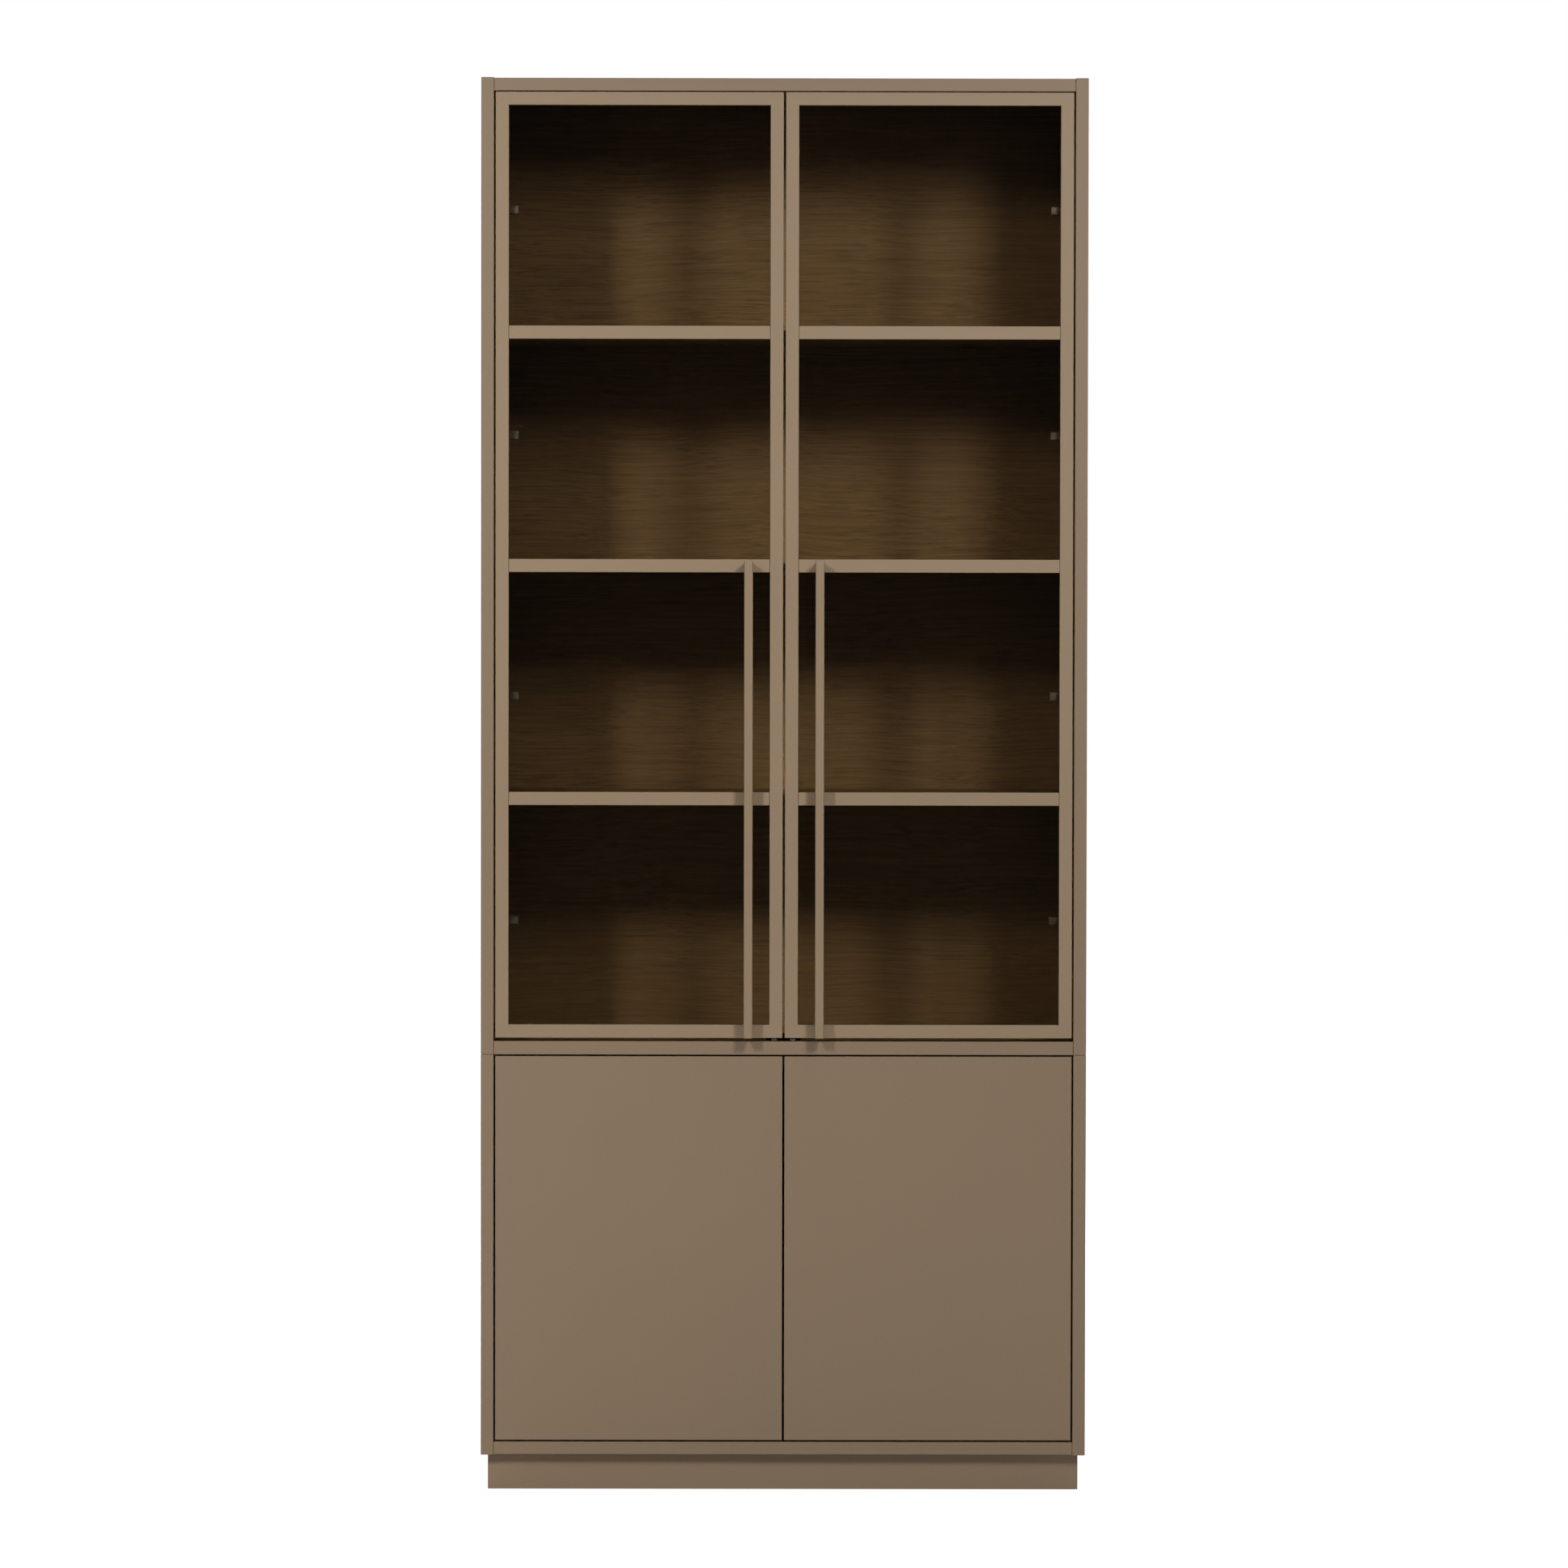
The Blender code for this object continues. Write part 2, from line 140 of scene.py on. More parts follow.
# Places read from the frame
INNER_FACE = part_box("upper_side_right")[0].x
TOP_BOARD_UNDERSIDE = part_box("top_board")[0].z
MIDDLE_BOARD_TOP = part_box("middle_board")[1].z
BASE_FLOOR_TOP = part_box("base_bottom_board")[1].z
BACK_PANEL_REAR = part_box("upper_back_panel")[1].y
HINGES = [joint for joint in frame["joints"] if joint["type"] == "hinge"]
DOOR_AXES = {joint["child"]: Vector(joint["pos_m"]) for joint in HINGES}

# The material that each of the record's slots has here
FINISH_OF_SLOT = {
    "taupe_lacquer": "sprayed_lacquer",
    "frame_lacquer": "sprayed_profile",
    "oak_veneer": "oak_faces",
    "bronze_glass": "tinted_glass",
    "hinge_steel": "plated_steel",
    "dark_plastic": "moulded_plastic",
}

# Nodes that have another finish than their slot's
MIXED_FINISHES = {
    "top_board": "lacquer_with_oak_below",
    "middle_board": "lacquer_with_oak_above",
    "base_bottom_board": "lacquer_with_oak_base_floor",
    "base_top_board": "oak_faces",
    "upper_back_panel": "oak_with_bare_rear",
    "base_back_panel": "oak_with_bare_rear",
}
for side_word in SIDES:
    MIXED_FINISHES[f"upper_side_{side_word}"] = "lacquer_with_oak_inside"
    MIXED_FINISHES[f"base_side_{side_word}"] = "lacquer_with_oak_inside"

# Depth of each finish's relief, and the plain values of its shader
LACQUER_SURFACE = (0.00012, {"Specular IOR Level": 0.4})
OAK_SURFACE = (0.0003, {})
STEEL_SURFACE = (0.00005, {"Metallic": 1.0})
PLASTIC_SURFACE = (0.0001, {})

Look = namedtuple("Look", "colour roughness height")


# Settings that a user can change


def colour_setting(name, description, default):
    return FloatVectorProperty(
        name=name, description=description, default=default, subtype="COLOR", min=0, max=1
    )


def place_setting(name, description, default):
    return FloatVectorProperty(
        name=name, description=description, default=default, subtype="TRANSLATION", unit="LENGTH"
    )


def level_setting(name, description, default, unit="NONE"):
    return FloatProperty(name=name, description=description, default=default, unit=unit, min=0)


def length_setting(name, description, metres):
    return level_setting(name, description, metres, "LENGTH")


def angle_setting(name, description, degrees):
    return level_setting(name, description, math.radians(degrees), "ROTATION")


def power_setting(name, description, watts):
    return level_setting(name, description, watts, "POWER")


class CabinetFinishes(bpy.types.PropertyGroup):
    """Colours and textures of the cabinet's finishes."""

    lacquer_colour: colour_setting(
        "Lacquer", "Taupe lacquer on the boards and the base doors", (0.286, 0.201, 0.1265)
    )
    # Painted highlight: the same lacquer as the boards, made lighter on the frames, bars and handles to stand in
    # for the light their narrow, rounded faces catch
    lit_profile_colour: colour_setting(
        "Profile Lacquer",
        "The same lacquer on the metal door frames, bars and handles, where it comes out lighter",
        (0.338, 0.239, 0.1465),
    )
    lacquer_grain: level_setting("Lacquer Grain", "Specks of the lacquer's fine texture in a metre", 900)
    oak_light: colour_setting("Oak, Light", "Light bands of the oak veneer inside", (0.272, 0.1785, 0.0805))
    oak_dark: colour_setting("Oak, Dark", "Dark bands of the oak veneer inside", (0.188, 0.1235, 0.0555))
    oak_pore: colour_setting(
        "Oak, Pores", "Open pores that run with the oak's grain", (0.112, 0.0685, 0.029)
    )
    fibreboard_colour: colour_setting("Fibreboard", "Bare rear of the back panels", (0.36, 0.25, 0.155))
    glass_tint: colour_setting(
        "Glass", "Light that one passage through the bronze glass lets by", (0.590, 0.528, 0.433)
    )
    steel_colour: colour_setting(
        "Hinge Steel", "Dark-plated steel of the hinges, supports and screws", (0.15, 0.142, 0.127)
    )
    plastic_colour: colour_setting(
        "Plastic", "Dark plastic of the latches, the catch and the glazing beads", (0.028, 0.026, 0.024)
    )


class CabinetFittings(bpy.types.PropertyGroup):
    """Sizes of the small fittings that the frame leaves to the scene."""

    handle_edge: length_setting("Handle Rounding", "Radius of the rounded edges of the handle bars", 0.0018)
    handle_thickness: length_setting(
        "Handle Thickness", "Thickness of the handle bars from front to rear", 0.012
    )
    post_height: length_setting("Handle Post", "Height of each post that carries a handle bar", 0.012)
    bead_round: length_setting("Bead Rounding", "Radius of the glazing bead's inner edge", 0.0028)
    bead_recess: length_setting(
        "Bead Recess", "How far the glazing bead stays behind the rear of the door frame", 0.0006
    )
    flange_width: length_setting(
        "Cup Flange", "Width of the screw flange on a glass door's hinge cup", 0.012
    )
    screw_margin: length_setting(
        "Screw Margin", "Distance of a screw head from the end of what it holds", 0.0025
    )
    screw_radius: length_setting("Screw Head", "Radius of a screw head", 0.0032)
    screw_height: length_setting("Screw Height", "Height of a screw head over what it holds", 0.0014)
    arm_stem: length_setting(
        "Hinge Arm Stem", "How far the straight part of a hinge arm stands off the side panel", 0.0135
    )
    arm_nose: length_setting("Hinge Arm Nose", "Length of a hinge arm's nose next to the door", 0.012)
    arm_nose_root: length_setting(
        "Hinge Arm Nose Root", "How far from the side panel the nose of a hinge arm begins", 0.011
    )
    arm_crank: length_setting(
        "Hinge Arm Crank", "Length of the slanted part between a hinge arm's stem and its nose", 0.016
    )
    arm_rim: length_setting(
        "Hinge Arm Rim", "Width of the rim round the slot in a hinge arm's stem", 0.0024
    )
    arm_slot: length_setting("Hinge Arm Slot", "Depth of the slot in a hinge arm's stem", 0.0022)
    plate_length: length_setting(
        "Plate Length", "Length of a hinge's mounting plate from front to rear", 0.022
    )
    plate_height: length_setting(
        "Plate Height", "Height of a hinge's mounting plate with its two wings", 0.052
    )
    plate_thickness: length_setting("Plate Thickness", "Thickness of a hinge's mounting plate", 0.0018)
    link_radius: length_setting(
        "Hinge Link Radius",
        "Distance of a hinge's curved link from the axis that the door turns about",
        0.040,
    )
    link_height: length_setting("Hinge Link Height", "Height of a hinge's curved link", 0.0075)
    link_thickness: length_setting("Hinge Link Thickness", "Thickness of a hinge's curved link", 0.0022)
    link_steps: IntProperty(
        name="Hinge Link Steps",
        description="Steps of a hinge's curved link along its length",
        default=28,
        min=8,
    )
    support_width: length_setting(
        "Shelf Support Width", "Width of the L-shaped supports under a shelf", 0.010
    )
    support_reach: length_setting(
        "Shelf Support Reach", "How far a support reaches under a shelf, and down the side panel", 0.011
    )
    support_thickness: length_setting("Shelf Support Thickness", "Thickness of a shelf support", 0.0016)
    support_inset: length_setting(
        "Shelf Support Inset",
        "Distance of a support's middle from the shelf's front or rear edge",
        0.040,
    )
    catch_depth: length_setting("Catch Depth", "Depth of the catch's body behind the doors", 0.016)
    catch_spacing: length_setting(
        "Catch Spacing", "Distance between the middles of the catch's two prongs", 0.0276
    )
    catch_prong: length_setting("Catch Prong", "Width of each prong of the catch", 0.009)
    catch_headroom: length_setting(
        "Catch Headroom", "Gap between the catch's prongs and the doors over them", 0.0006
    )
    catch_plate_width: length_setting(
        "Catch Plate Width", "Width of the steel channel round each magnet of the catch", 0.0046
    )
    catch_plate_thickness: length_setting(
        "Catch Plate Thickness", "Thickness of the steel channel round each magnet", 0.0010
    )
    catch_plate_proud: length_setting(
        "Catch Plate Proud", "How far each steel channel stands out in front of its prong", 0.0008
    )
    ear_length: length_setting(
        "Latch Ear Length", "Length of the screw ears on each side of a push latch", 0.014
    )
    ear_reach: length_setting(
        "Latch Ear Reach", "How far each screw ear stands out from a push latch", 0.010
    )
    ear_thickness: length_setting("Latch Ear Thickness", "Thickness of a push latch's screw ears", 0.0024)


class CabinetStudio(bpy.types.PropertyGroup):
    """Camera, lamps and floor."""

    camera_place: place_setting("Camera Place", "Where the camera stands", (-0.0379, -11.1435, 1.3809))
    camera_turn: FloatVectorProperty(
        name="Camera Turn",
        description="Pitch, roll and yaw of the camera from a level view along +Y",
        subtype="EULER",
        unit="ROTATION",
        default=(math.radians(-1.7126), math.radians(-0.0993), math.radians(-0.1988)),
    )
    camera_lens: level_setting("Lens", "Focal length in millimetres on a sensor 36 mm wide", 169.5)
    left_key_place: place_setting(
        "Left Key Place", "Middle of the large soft lamp at the front left", (-2.76, -5.57, 3.98)
    )
    right_key_place: place_setting(
        "Right Key Place", "Middle of the large soft lamp at the front right", (1.40, -3.49, 3.07)
    )
    left_key_target: place_setting(
        "Left Key Target", "Point that the left key lamp faces", (-2.23, -0.18, 1.8)
    )
    right_key_target: place_setting(
        "Right Key Target", "Point that the right key lamp faces", (1.3, -0.18, 1.6)
    )
    left_key_spread: angle_setting("Left Key Spread", "Width of the left key lamp's beam", 53)
    right_key_spread: angle_setting("Right Key Spread", "Width of the right key lamp's beam", 84)
    left_key_power: power_setting("Left Key Power", "Left key lamp", 45.8)
    right_key_power: power_setting("Right Key Power", "Right key lamp", 26.3)
    key_width: length_setting("Key Width", "Width of both key lamps", 0.65)
    key_height: length_setting("Key Height", "Height of both key lamps", 1.0)
    fill_place: place_setting(
        "Low Fill Place",
        "Middle of the long low lamp that stands for light thrown back by the floor",
        (0.0, -1.6, 0.16),
    )
    fill_target: place_setting("Low Fill Target", "Point that the low fill lamp faces", (0.0, -0.18, 0.16))
    fill_spread: angle_setting("Low Fill Spread", "Width of the low fill lamp's beam", 80)
    fill_power: power_setting("Low Fill Power", "Low fill lamp", 1.4)
    fill_width: length_setting("Low Fill Width", "Width of the low fill lamp", 2.4)
    fill_height: length_setting("Low Fill Height", "Height of the low fill lamp", 0.65)
    rear_place: place_setting(
        "Rear Lamp Place", "Middle of the right rear lamp; the left one mirrors it", (2.9, 3.4, 2.6)
    )
    rear_power: power_setting("Rear Lamp Power", "Each rear lamp", 130)
    rear_size: length_setting("Rear Lamp Size", "Side of each rear lamp", 1.6)
    floor_colour: colour_setting(
        "Floor", "Colour of the floor, which sets how much light it throws up", (0.70, 0.70, 0.69)
    )
    floor_radius: length_setting("Floor Radius", "Radius of the floor", 14)
    # Depth of the painted shade under the cabinet's rear, where the floor's glow fades out
    painted_floor_shade: length_setting(
        "Floor Shade", "How far in under the cabinet's rear the white floor turns dark", 0.14
    )
    mirrored_room: level_setting("Mirrored Room", "How bright the room in front shows in the glass", 0.018)
    ambient: level_setting("Ambient", "Even light of the room from all around", 0.01)


# Node helpers


def feed(tree, socket, value):
    """Links a socket to the input, or sets the input to a plain value."""
    if isinstance(value, bpy.types.NodeSocket):
        tree.links.new(value, socket)
    else:
        socket.default_value = value


def add_node(tree, kind, inputs=None, **settings):
    """A node with its settings, and its inputs by their names or numbers."""
    node = tree.nodes.new(f"ShaderNode{kind}")
    for name, value in settings.items():
        setattr(node, name, value)
    for name, value in (inputs or {}).items():
        feed(tree, node.inputs[name], value)
    return node


def calculate(tree, operation, *values):
    node = add_node(tree, "Math", operation=operation)
    for socket, value in zip(node.inputs, values):
        feed(tree, socket, value)
    return node.outputs["Value"]


def scale_range(tree, value, span, new_span=(0.0, 1.0)):
    """A value moved from one span to another and kept within it."""
    ends = zip(("From Min", "From Max", "To Min", "To Max"), (*span, *new_span))
    return add_node(tree, "MapRange", {"Value": value, **dict(ends)}).outputs["Result"]


def mix_colours(tree, factor, first, second, blend_type="MIX"):
    node = add_node(tree, "Mix", data_type="RGBA", blend_type=blend_type)
    sockets = {socket.identifier: socket for socket in node.inputs}
    feed(tree, sockets["Factor_Float"], factor)
    feed(tree, sockets["A_Color"], first)
    feed(tree, sockets["B_Color"], second)
    return next(socket for socket in node.outputs if socket.identifier == "Result_Color")


def mix_values(tree, factor, first, second):
    node = add_node(tree, "Mix", data_type="FLOAT")
    for name, value in (("Factor", factor), ("A", first), ("B", second)):
        feed(tree, node.inputs[name], value)
    return node.outputs["Result"]


def add_noise(tree, place, scale, detail=2.0, roughness=0.5):
    inputs = {"Vector": place, "Scale": scale, "Detail": detail, "Roughness": roughness}
    return add_node(tree, "TexNoise", inputs).outputs["Fac"]


def stretch(tree, place, factors):
    """A place or a colour, multiplied on each axis."""
    node = add_node(tree, "VectorMath", {0: place, 1: factors}, operation="MULTIPLY")
    return node.outputs["Vector"]


def stretched_noise(tree, place, specks, detail=2.0, roughness=0.5):
    """A noise with its own number of specks in a metre along each axis."""
    return add_noise(tree, stretch(tree, place, specks), 1.0, detail, roughness)


def mix_shaders(tree, factor, first, second):
    inputs = {0: factor, 1: first.outputs[0], 2: second.outputs[0]}
    return add_node(tree, "MixShader", inputs).outputs["Shader"]


def solid(colour):
    return (*colour, 1.0)


def shade(colour, factor):
    return (*(channel * factor for channel in colour), 1.0)


# Shared effects


def new_group(name, inputs, outputs):
    """An empty node group that takes a place and plain numbers, and gives numbers."""
    tree = bpy.data.node_groups.new(name, "ShaderNodeTree")
    tree.interface.new_socket("Place", in_out="INPUT", socket_type="NodeSocketVector")
    for direction, names in (("INPUT", inputs), ("OUTPUT", outputs)):
        for socket_name in names:
            tree.interface.new_socket(socket_name, in_out=direction, socket_type="NodeSocketFloat")
    entry = tree.nodes.new("NodeGroupInput")
    leave = tree.nodes.new("NodeGroupOutput")
    return tree, entry.outputs, leave.inputs


def build_fine_texture():
    """Fine specks and slow clouds, as in sprayed lacquer and moulded plastic."""
    tree, given, result = new_group("fine_texture", ["Grain"], ["Specks", "Clouds"])
    feed(tree, result["Specks"], add_noise(tree, given["Place"], given["Grain"], 2.0, 0.65))
    feed(tree, result["Clouds"], add_noise(tree, given["Place"], 4.5, 3.0, 0.55))


def build_wood_grain():
    """Veneer whose grain runs along X: slow bands, long fine fibres and short dark pores."""
    tree, given, result = new_group("wood_grain", [], ["Bands", "Fibres", "Pores"])
    sway = add_node(tree, "TexNoise", {"Vector": given["Place"], "Scale": 4.0, "Detail": 1.0})
    bend = stretch(tree, sway.outputs["Color"], (0.0, 0.024, 0.024))
    bent = add_node(tree, "VectorMath", {0: given["Place"], 1: bend}, operation="ADD")
    place = bent.outputs["Vector"]
    bands = stretched_noise(tree, place, (1.0, 30.0, 30.0), 3.0, 0.6)
    feed(tree, result["Bands"], scale_range(tree, bands, NOISE_SPAN))
    fibres = stretched_noise(tree, place, (2.0, 260.0, 260.0), 4.0, 0.65)
    feed(tree, result["Fibres"], scale_range(tree, fibres, (0.36, 0.64)))
    pores = stretched_noise(tree, place, (14.0, 640.0, 640.0), 1.0)
    clumps = stretched_noise(tree, place, (2.0, 60.0, 60.0))
    deep = calculate(tree, "MULTIPLY_ADD", clumps, 0.35, pores)
    feed(tree, result["Pores"], scale_range(tree, deep, (0.70, 0.86), (0.0, 0.6)))


def build_dust():
    """Faint patches and specks of dust."""
    tree, given, result = new_group("dust", ["Amount"], ["Dust"])
    patches = scale_range(tree, add_noise(tree, given["Place"], 7.0, 3.0, 0.6), (0.45, 0.75))
    specks = scale_range(tree, add_noise(tree, given["Place"], 420.0), (0.58, 0.74))
    both = calculate(tree, "MULTIPLY_ADD", specks, 0.75, 0.25)
    spread = calculate(tree, "MULTIPLY", patches, both)
    feed(tree, result["Dust"], calculate(tree, "MULTIPLY", spread, given["Amount"]))


EFFECTS = {"fine_texture": build_fine_texture, "wood_grain": build_wood_grain, "dust": build_dust}


def use_group(tree, name, **inputs):
    """The outputs of a shared effect, which is built when it is first used."""
    if name not in bpy.data.node_groups:
        EFFECTS[name]()
    return add_node(tree, "Group", inputs, node_tree=bpy.data.node_groups[name]).outputs


# Finishes


def finishes():
    return bpy.context.scene.cabinet_finishes


def lacquer_look(tree, place, base):
    """Satin lacquer of one colour with a fine sprayed texture."""
    texture = use_group(tree, "fine_texture", Place=place, Grain=finishes().lacquer_grain)
    specks = scale_range(tree, texture["Specks"], (0.25, 0.75))
    clouds = scale_range(tree, texture["Clouds"], NOISE_SPAN)
    specked = mix_colours(tree, specks, shade(base, 0.96), shade(base, 1.04))
    cloudy = mix_colours(tree, clouds, shade(WHITE, 0.975), solid(WHITE))
    colour = mix_colours(tree, 1.0, specked, cloudy, "MULTIPLY")
    roughness = scale_range(tree, texture["Clouds"], NOISE_SPAN, (0.55, 0.59))
    return Look(colour, roughness, texture["Specks"])


def oak_look(tree, place):
    """Matt oak veneer with its grain along X of the place."""
    grain = use_group(tree, "wood_grain", Place=place)
    light = solid(finishes().oak_light)
    dark = solid(finishes().oak_dark)
    tone = mix_values(tree, 0.75, grain["Bands"], grain["Fibres"])
    banded = mix_colours(tree, tone, dark, light)
    colour = mix_colours(tree, grain["Pores"], banded, solid(finishes().oak_pore))
    roughness = scale_range(tree, grain["Fibres"], (0.0, 1.0), (0.62, 0.5))
    height = calculate(tree, "MULTIPLY_ADD", grain["Pores"], -1.0, grain["Fibres"])
    return Look(colour, roughness, height)


def fibreboard_look(tree, place):
    """Bare hard fibreboard, mottled with long fibres."""
    base = finishes().fibreboard_colour
    texture = use_group(tree, "fine_texture", Place=place, Grain=260.0)
    strands = stretched_noise(tree, place, (90.0, 90.0, 40.0), 3.0, 0.7)
    mottled = mix_colours(tree, texture["Specks"], shade(base, 0.8), shade(base, 1.2))
    colour = mix_colours(tree, strands, mottled, shade(base, 0.86))
    roughness = scale_range(tree, strands, NOISE_SPAN, (0.7, 0.85))
    return Look(colour, roughness, texture["Specks"])


def mix_looks(tree, mask, first, second):
    """The first look where the mask is 0 and the second where it is 1."""
    return Look(
        mix_colours(tree, mask, first.colour, second.colour),
        mix_values(tree, mask, first.roughness, second.roughness),
        mix_values(tree, mask, first.height, second.height),
    )


def new_material(name):
    """An empty material: its node tree, its output and the place on the piece."""
    material = bpy.data.materials.new(name)
    material.use_nodes = True
    tree = material.node_tree
    tree.nodes.clear()
    output = add_node(tree, "OutputMaterial")
    place = add_node(tree, "TexCoord").outputs["Object"]
    return tree, output, place


def make_finish(name, surface, look_at, *choices):
    """A Principled material. A function of the place and of the choices gives its look."""
    relief, plain = surface
    tree, output, place = new_material(name)
    look = look_at(tree, place, *choices)
    bump = {"Strength": 0.5, "Distance": relief, "Height": look.height}
    normal = add_node(tree, "Bump", bump).outputs["Normal"]
    inputs = {"Base Color": look.colour, "Roughness": look.roughness, "Normal": normal, **plain}
    shader = add_node(tree, "BsdfPrincipled", inputs)
    feed(tree, output.inputs["Surface"], shader.outputs["BSDF"])


def turn_grain_up(tree, place):
    """The place turned so that a grain along X runs up the piece instead."""
    node = add_node(tree, "Mapping", {"Vector": place, "Rotation": (0.0, math.radians(90), 0.0)})
    return node.outputs["Vector"]


def part_of(tree, place, axis):
    return add_node(tree, "SeparateXYZ", {"Vector": place}).outputs[axis]


def side_look(tree, place):
    """Side panels: lacquer outside and on the edges, upright oak on the inner face."""
    across = calculate(tree, "ABSOLUTE", part_of(tree, place, "X"))
    inside = calculate(tree, "LESS_THAN", across, INNER_FACE + TOUCH)
    lacquer = lacquer_look(tree, place, finishes().lacquer_colour)
    return mix_looks(tree, inside, lacquer, oak_look(tree, turn_grain_up(tree, place)))


def board_look(tree, place, comparison, height):
    """Boards that are lacquered but for one flat face of oak, above or below a height."""
    inside = calculate(tree, comparison, part_of(tree, place, "Z"), height)
    lacquer = lacquer_look(tree, place, finishes().lacquer_colour)
    return mix_looks(tree, inside, lacquer, oak_look(tree, place))


def back_look(tree, place):
    """Back panels: oak towards the shelves, bare fibreboard at the rear."""
    rear = calculate(tree, "GREATER_THAN", part_of(tree, place, "Y"), BACK_PANEL_REAR - TOUCH)
    return mix_looks(tree, rear, oak_look(tree, place), fibreboard_look(tree, place))


def steel_look(tree, place):
    """Dark-plated steel, faintly brushed."""
    base = finishes().steel_colour
    brushed = stretched_noise(tree, place, (2600.0, 160.0, 2600.0), 2.0, 0.6)
    stain = add_noise(tree, place, 90.0)
    streaked = mix_colours(tree, brushed, shade(base, 0.86), shade(base, 1.12))
    colour = mix_colours(tree, stain, streaked, shade(base, 0.9))
    roughness = scale_range(tree, brushed, NOISE_SPAN, (0.48, 0.62))
    return Look(colour, roughness, brushed)


def plastic_look(tree, place):
    """Dark moulded plastic with a fine spark-eroded texture."""
    base = finishes().plastic_colour
    texture = use_group(tree, "fine_texture", Place=place, Grain=1500.0)
    colour = mix_colours(tree, texture["Specks"], shade(base, 0.75), shade(base, 1.35))
    roughness = scale_range(tree, texture["Clouds"], NOISE_SPAN, (0.42, 0.55))
    return Look(colour, roughness, texture["Specks"])


def make_glass():
    """Bronze-tinted glass with a trace of dust. Lamps shine through it without being bent."""
    tree, output, place = new_material("tinted_glass")
    tint = finishes().glass_tint
    dust = use_group(tree, "dust", Place=place, Amount=0.05)["Dust"]
    colour = mix_colours(tree, dust, solid(tint), solid(DUST_COLOUR))
    inputs = {"Base Color": colour, "Transmission Weight": 1.0, "IOR": 1.5, "Roughness": 0.0}
    glass = add_node(tree, "BsdfPrincipled", inputs)
    through = tuple(math.sqrt(channel) for channel in tint)
    clear = add_node(tree, "BsdfTransparent", {"Color": solid(through)})
    path = add_node(tree, "LightPath").outputs
    straight = calculate(tree, "MAXIMUM", path["Is Shadow Ray"], path["Is Diffuse Ray"])
    feed(tree, output.inputs["Surface"], mix_shaders(tree, straight, glass, clear))


# Mesh helpers


def deselect_all():
    """Leaves nothing selected, because an operator acts on all that is."""
    bpy.ops.object.select_all(action="DESELECT")


def start_block(name, low, high):
    """A block between two corners, its place in its mesh, ready to be shaped."""
    low, high = Vector(low), Vector(high)
    deselect_all()
    bpy.ops.mesh.primitive_cube_add(size=1, location=(low + high) / 2, scale=high - low)
    return settle_start(name)


def settle_start(name):
    """Names the newest piece and puts its place in its mesh."""
    piece = bpy.context.active_object
    piece.name = name
    piece.data.name = name
    bpy.ops.object.transform_apply(location=True, rotation=True, scale=True)
    return piece


def choose(*pieces):
    """Makes these the only pieces selected, and the first of them the active one."""
    deselect_all()
    for piece in pieces:
        piece.select_set(True)
    bpy.context.view_layer.objects.active = pieces[0]


def open_piece(piece):
    """Puts one piece alone in edit mode."""
    choose(piece)
    bpy.ops.object.mode_set(mode="EDIT")


def close_piece():
    bpy.ops.object.mode_set(mode="OBJECT")


def smooth_faces():
    """Shades the active piece smooth, apart from its sharp edges."""
    bpy.ops.object.shade_smooth_by_angle(angle=SHARP_ANGLE)


def pick(kind, test):
    """Selects the faces or the edges of the open piece that pass the test."""
    piece = bpy.context.edit_object
    bpy.ops.mesh.select_mode(type=kind)
    bpy.ops.mesh.select_all(action="DESELECT")
    mesh = bmesh.from_edit_mesh(piece.data)
    for element in mesh.faces if kind == "FACE" else mesh.edges:
        if test(element):
            element.select_set(True)
    bmesh.update_edit_mesh(piece.data)


def pick_faces(test):
    """Selects the faces whose middle and normal pass the test."""
    pick("FACE", lambda face: test(face.calc_center_median(), face.normal))


def pick_edges(test):
    """Selects the edges that pass the test."""
    pick("EDGE", test)


def runs_along(edge, axis):
    way = (edge.verts[1].co - edge.verts[0].co).normalized()
    return abs(way[axis]) > ALONG_AXIS


def is_sharp(edge):
    return edge.calc_face_angle(0.0) > SHARP_ANGLE


def round_edges(width, steps):
    """Rounds the edges that are selected."""
    bpy.ops.mesh.bevel(offset=width, segments=steps, affect="EDGES", clamp_overlap=True)


def face_outwards():
    """Merges doubles and turns every face of the open piece outwards."""
    bpy.ops.mesh.select_all(action="SELECT")
    bpy.ops.mesh.remove_doubles(threshold=MERGE)
    bpy.ops.mesh.normals_make_consistent(inside=False)


def cut_across(axis, *places):
    """Cuts edges right across the open piece at places on an axis, with nothing removed."""
    normal = Matrix.Identity(3)[axis]
    for place in places:
        bpy.ops.mesh.select_all(action="SELECT")
        bpy.ops.mesh.bisect(plane_co=normal * place, plane_no=normal)


def extrude(move):
    bpy.ops.mesh.extrude_region_move(TRANSFORM_OT_translate={"value": move})


def finish_edges(piece, width, steps=2):
    """Rounds the sharp edges of a finished piece and shades its round faces smooth."""
    choose(piece)
    bevel = piece.modifiers.new("edges", "BEVEL")
    bevel.width = width
    bevel.segments = steps
    bevel.limit_method = "ANGLE"
    bevel.angle_limit = SHARP_ANGLE
    bpy.ops.object.modifier_apply(modifier=bevel.name)
    smooth_faces()


def cut_with(piece, cutter):
    """Cuts one piece out of another and removes the cutter."""
    choose(piece)
    cut = piece.modifiers.new("cut", "BOOLEAN")
    cut.operation = "DIFFERENCE"
    cut.solver = "EXACT"
    cut.object = cutter
    bpy.ops.object.modifier_apply(modifier=cut.name)
    remove(cutter)


def remove(piece):
    mesh = piece.data
    bpy.data.objects.remove(piece)
    bpy.data.meshes.remove(mesh)


def copy_to(piece, name, matrix):
    """A copy with a mesh of its own, moved by the matrix."""
    copy = piece.copy()
    copy.data = piece.data.copy()
    copy.name = name
    copy.data.name = name
    bpy.context.collection.objects.link(copy)
    copy.data.transform(matrix)
    if matrix.determinant() < 0:
        copy.data.flip_normals()
    return copy


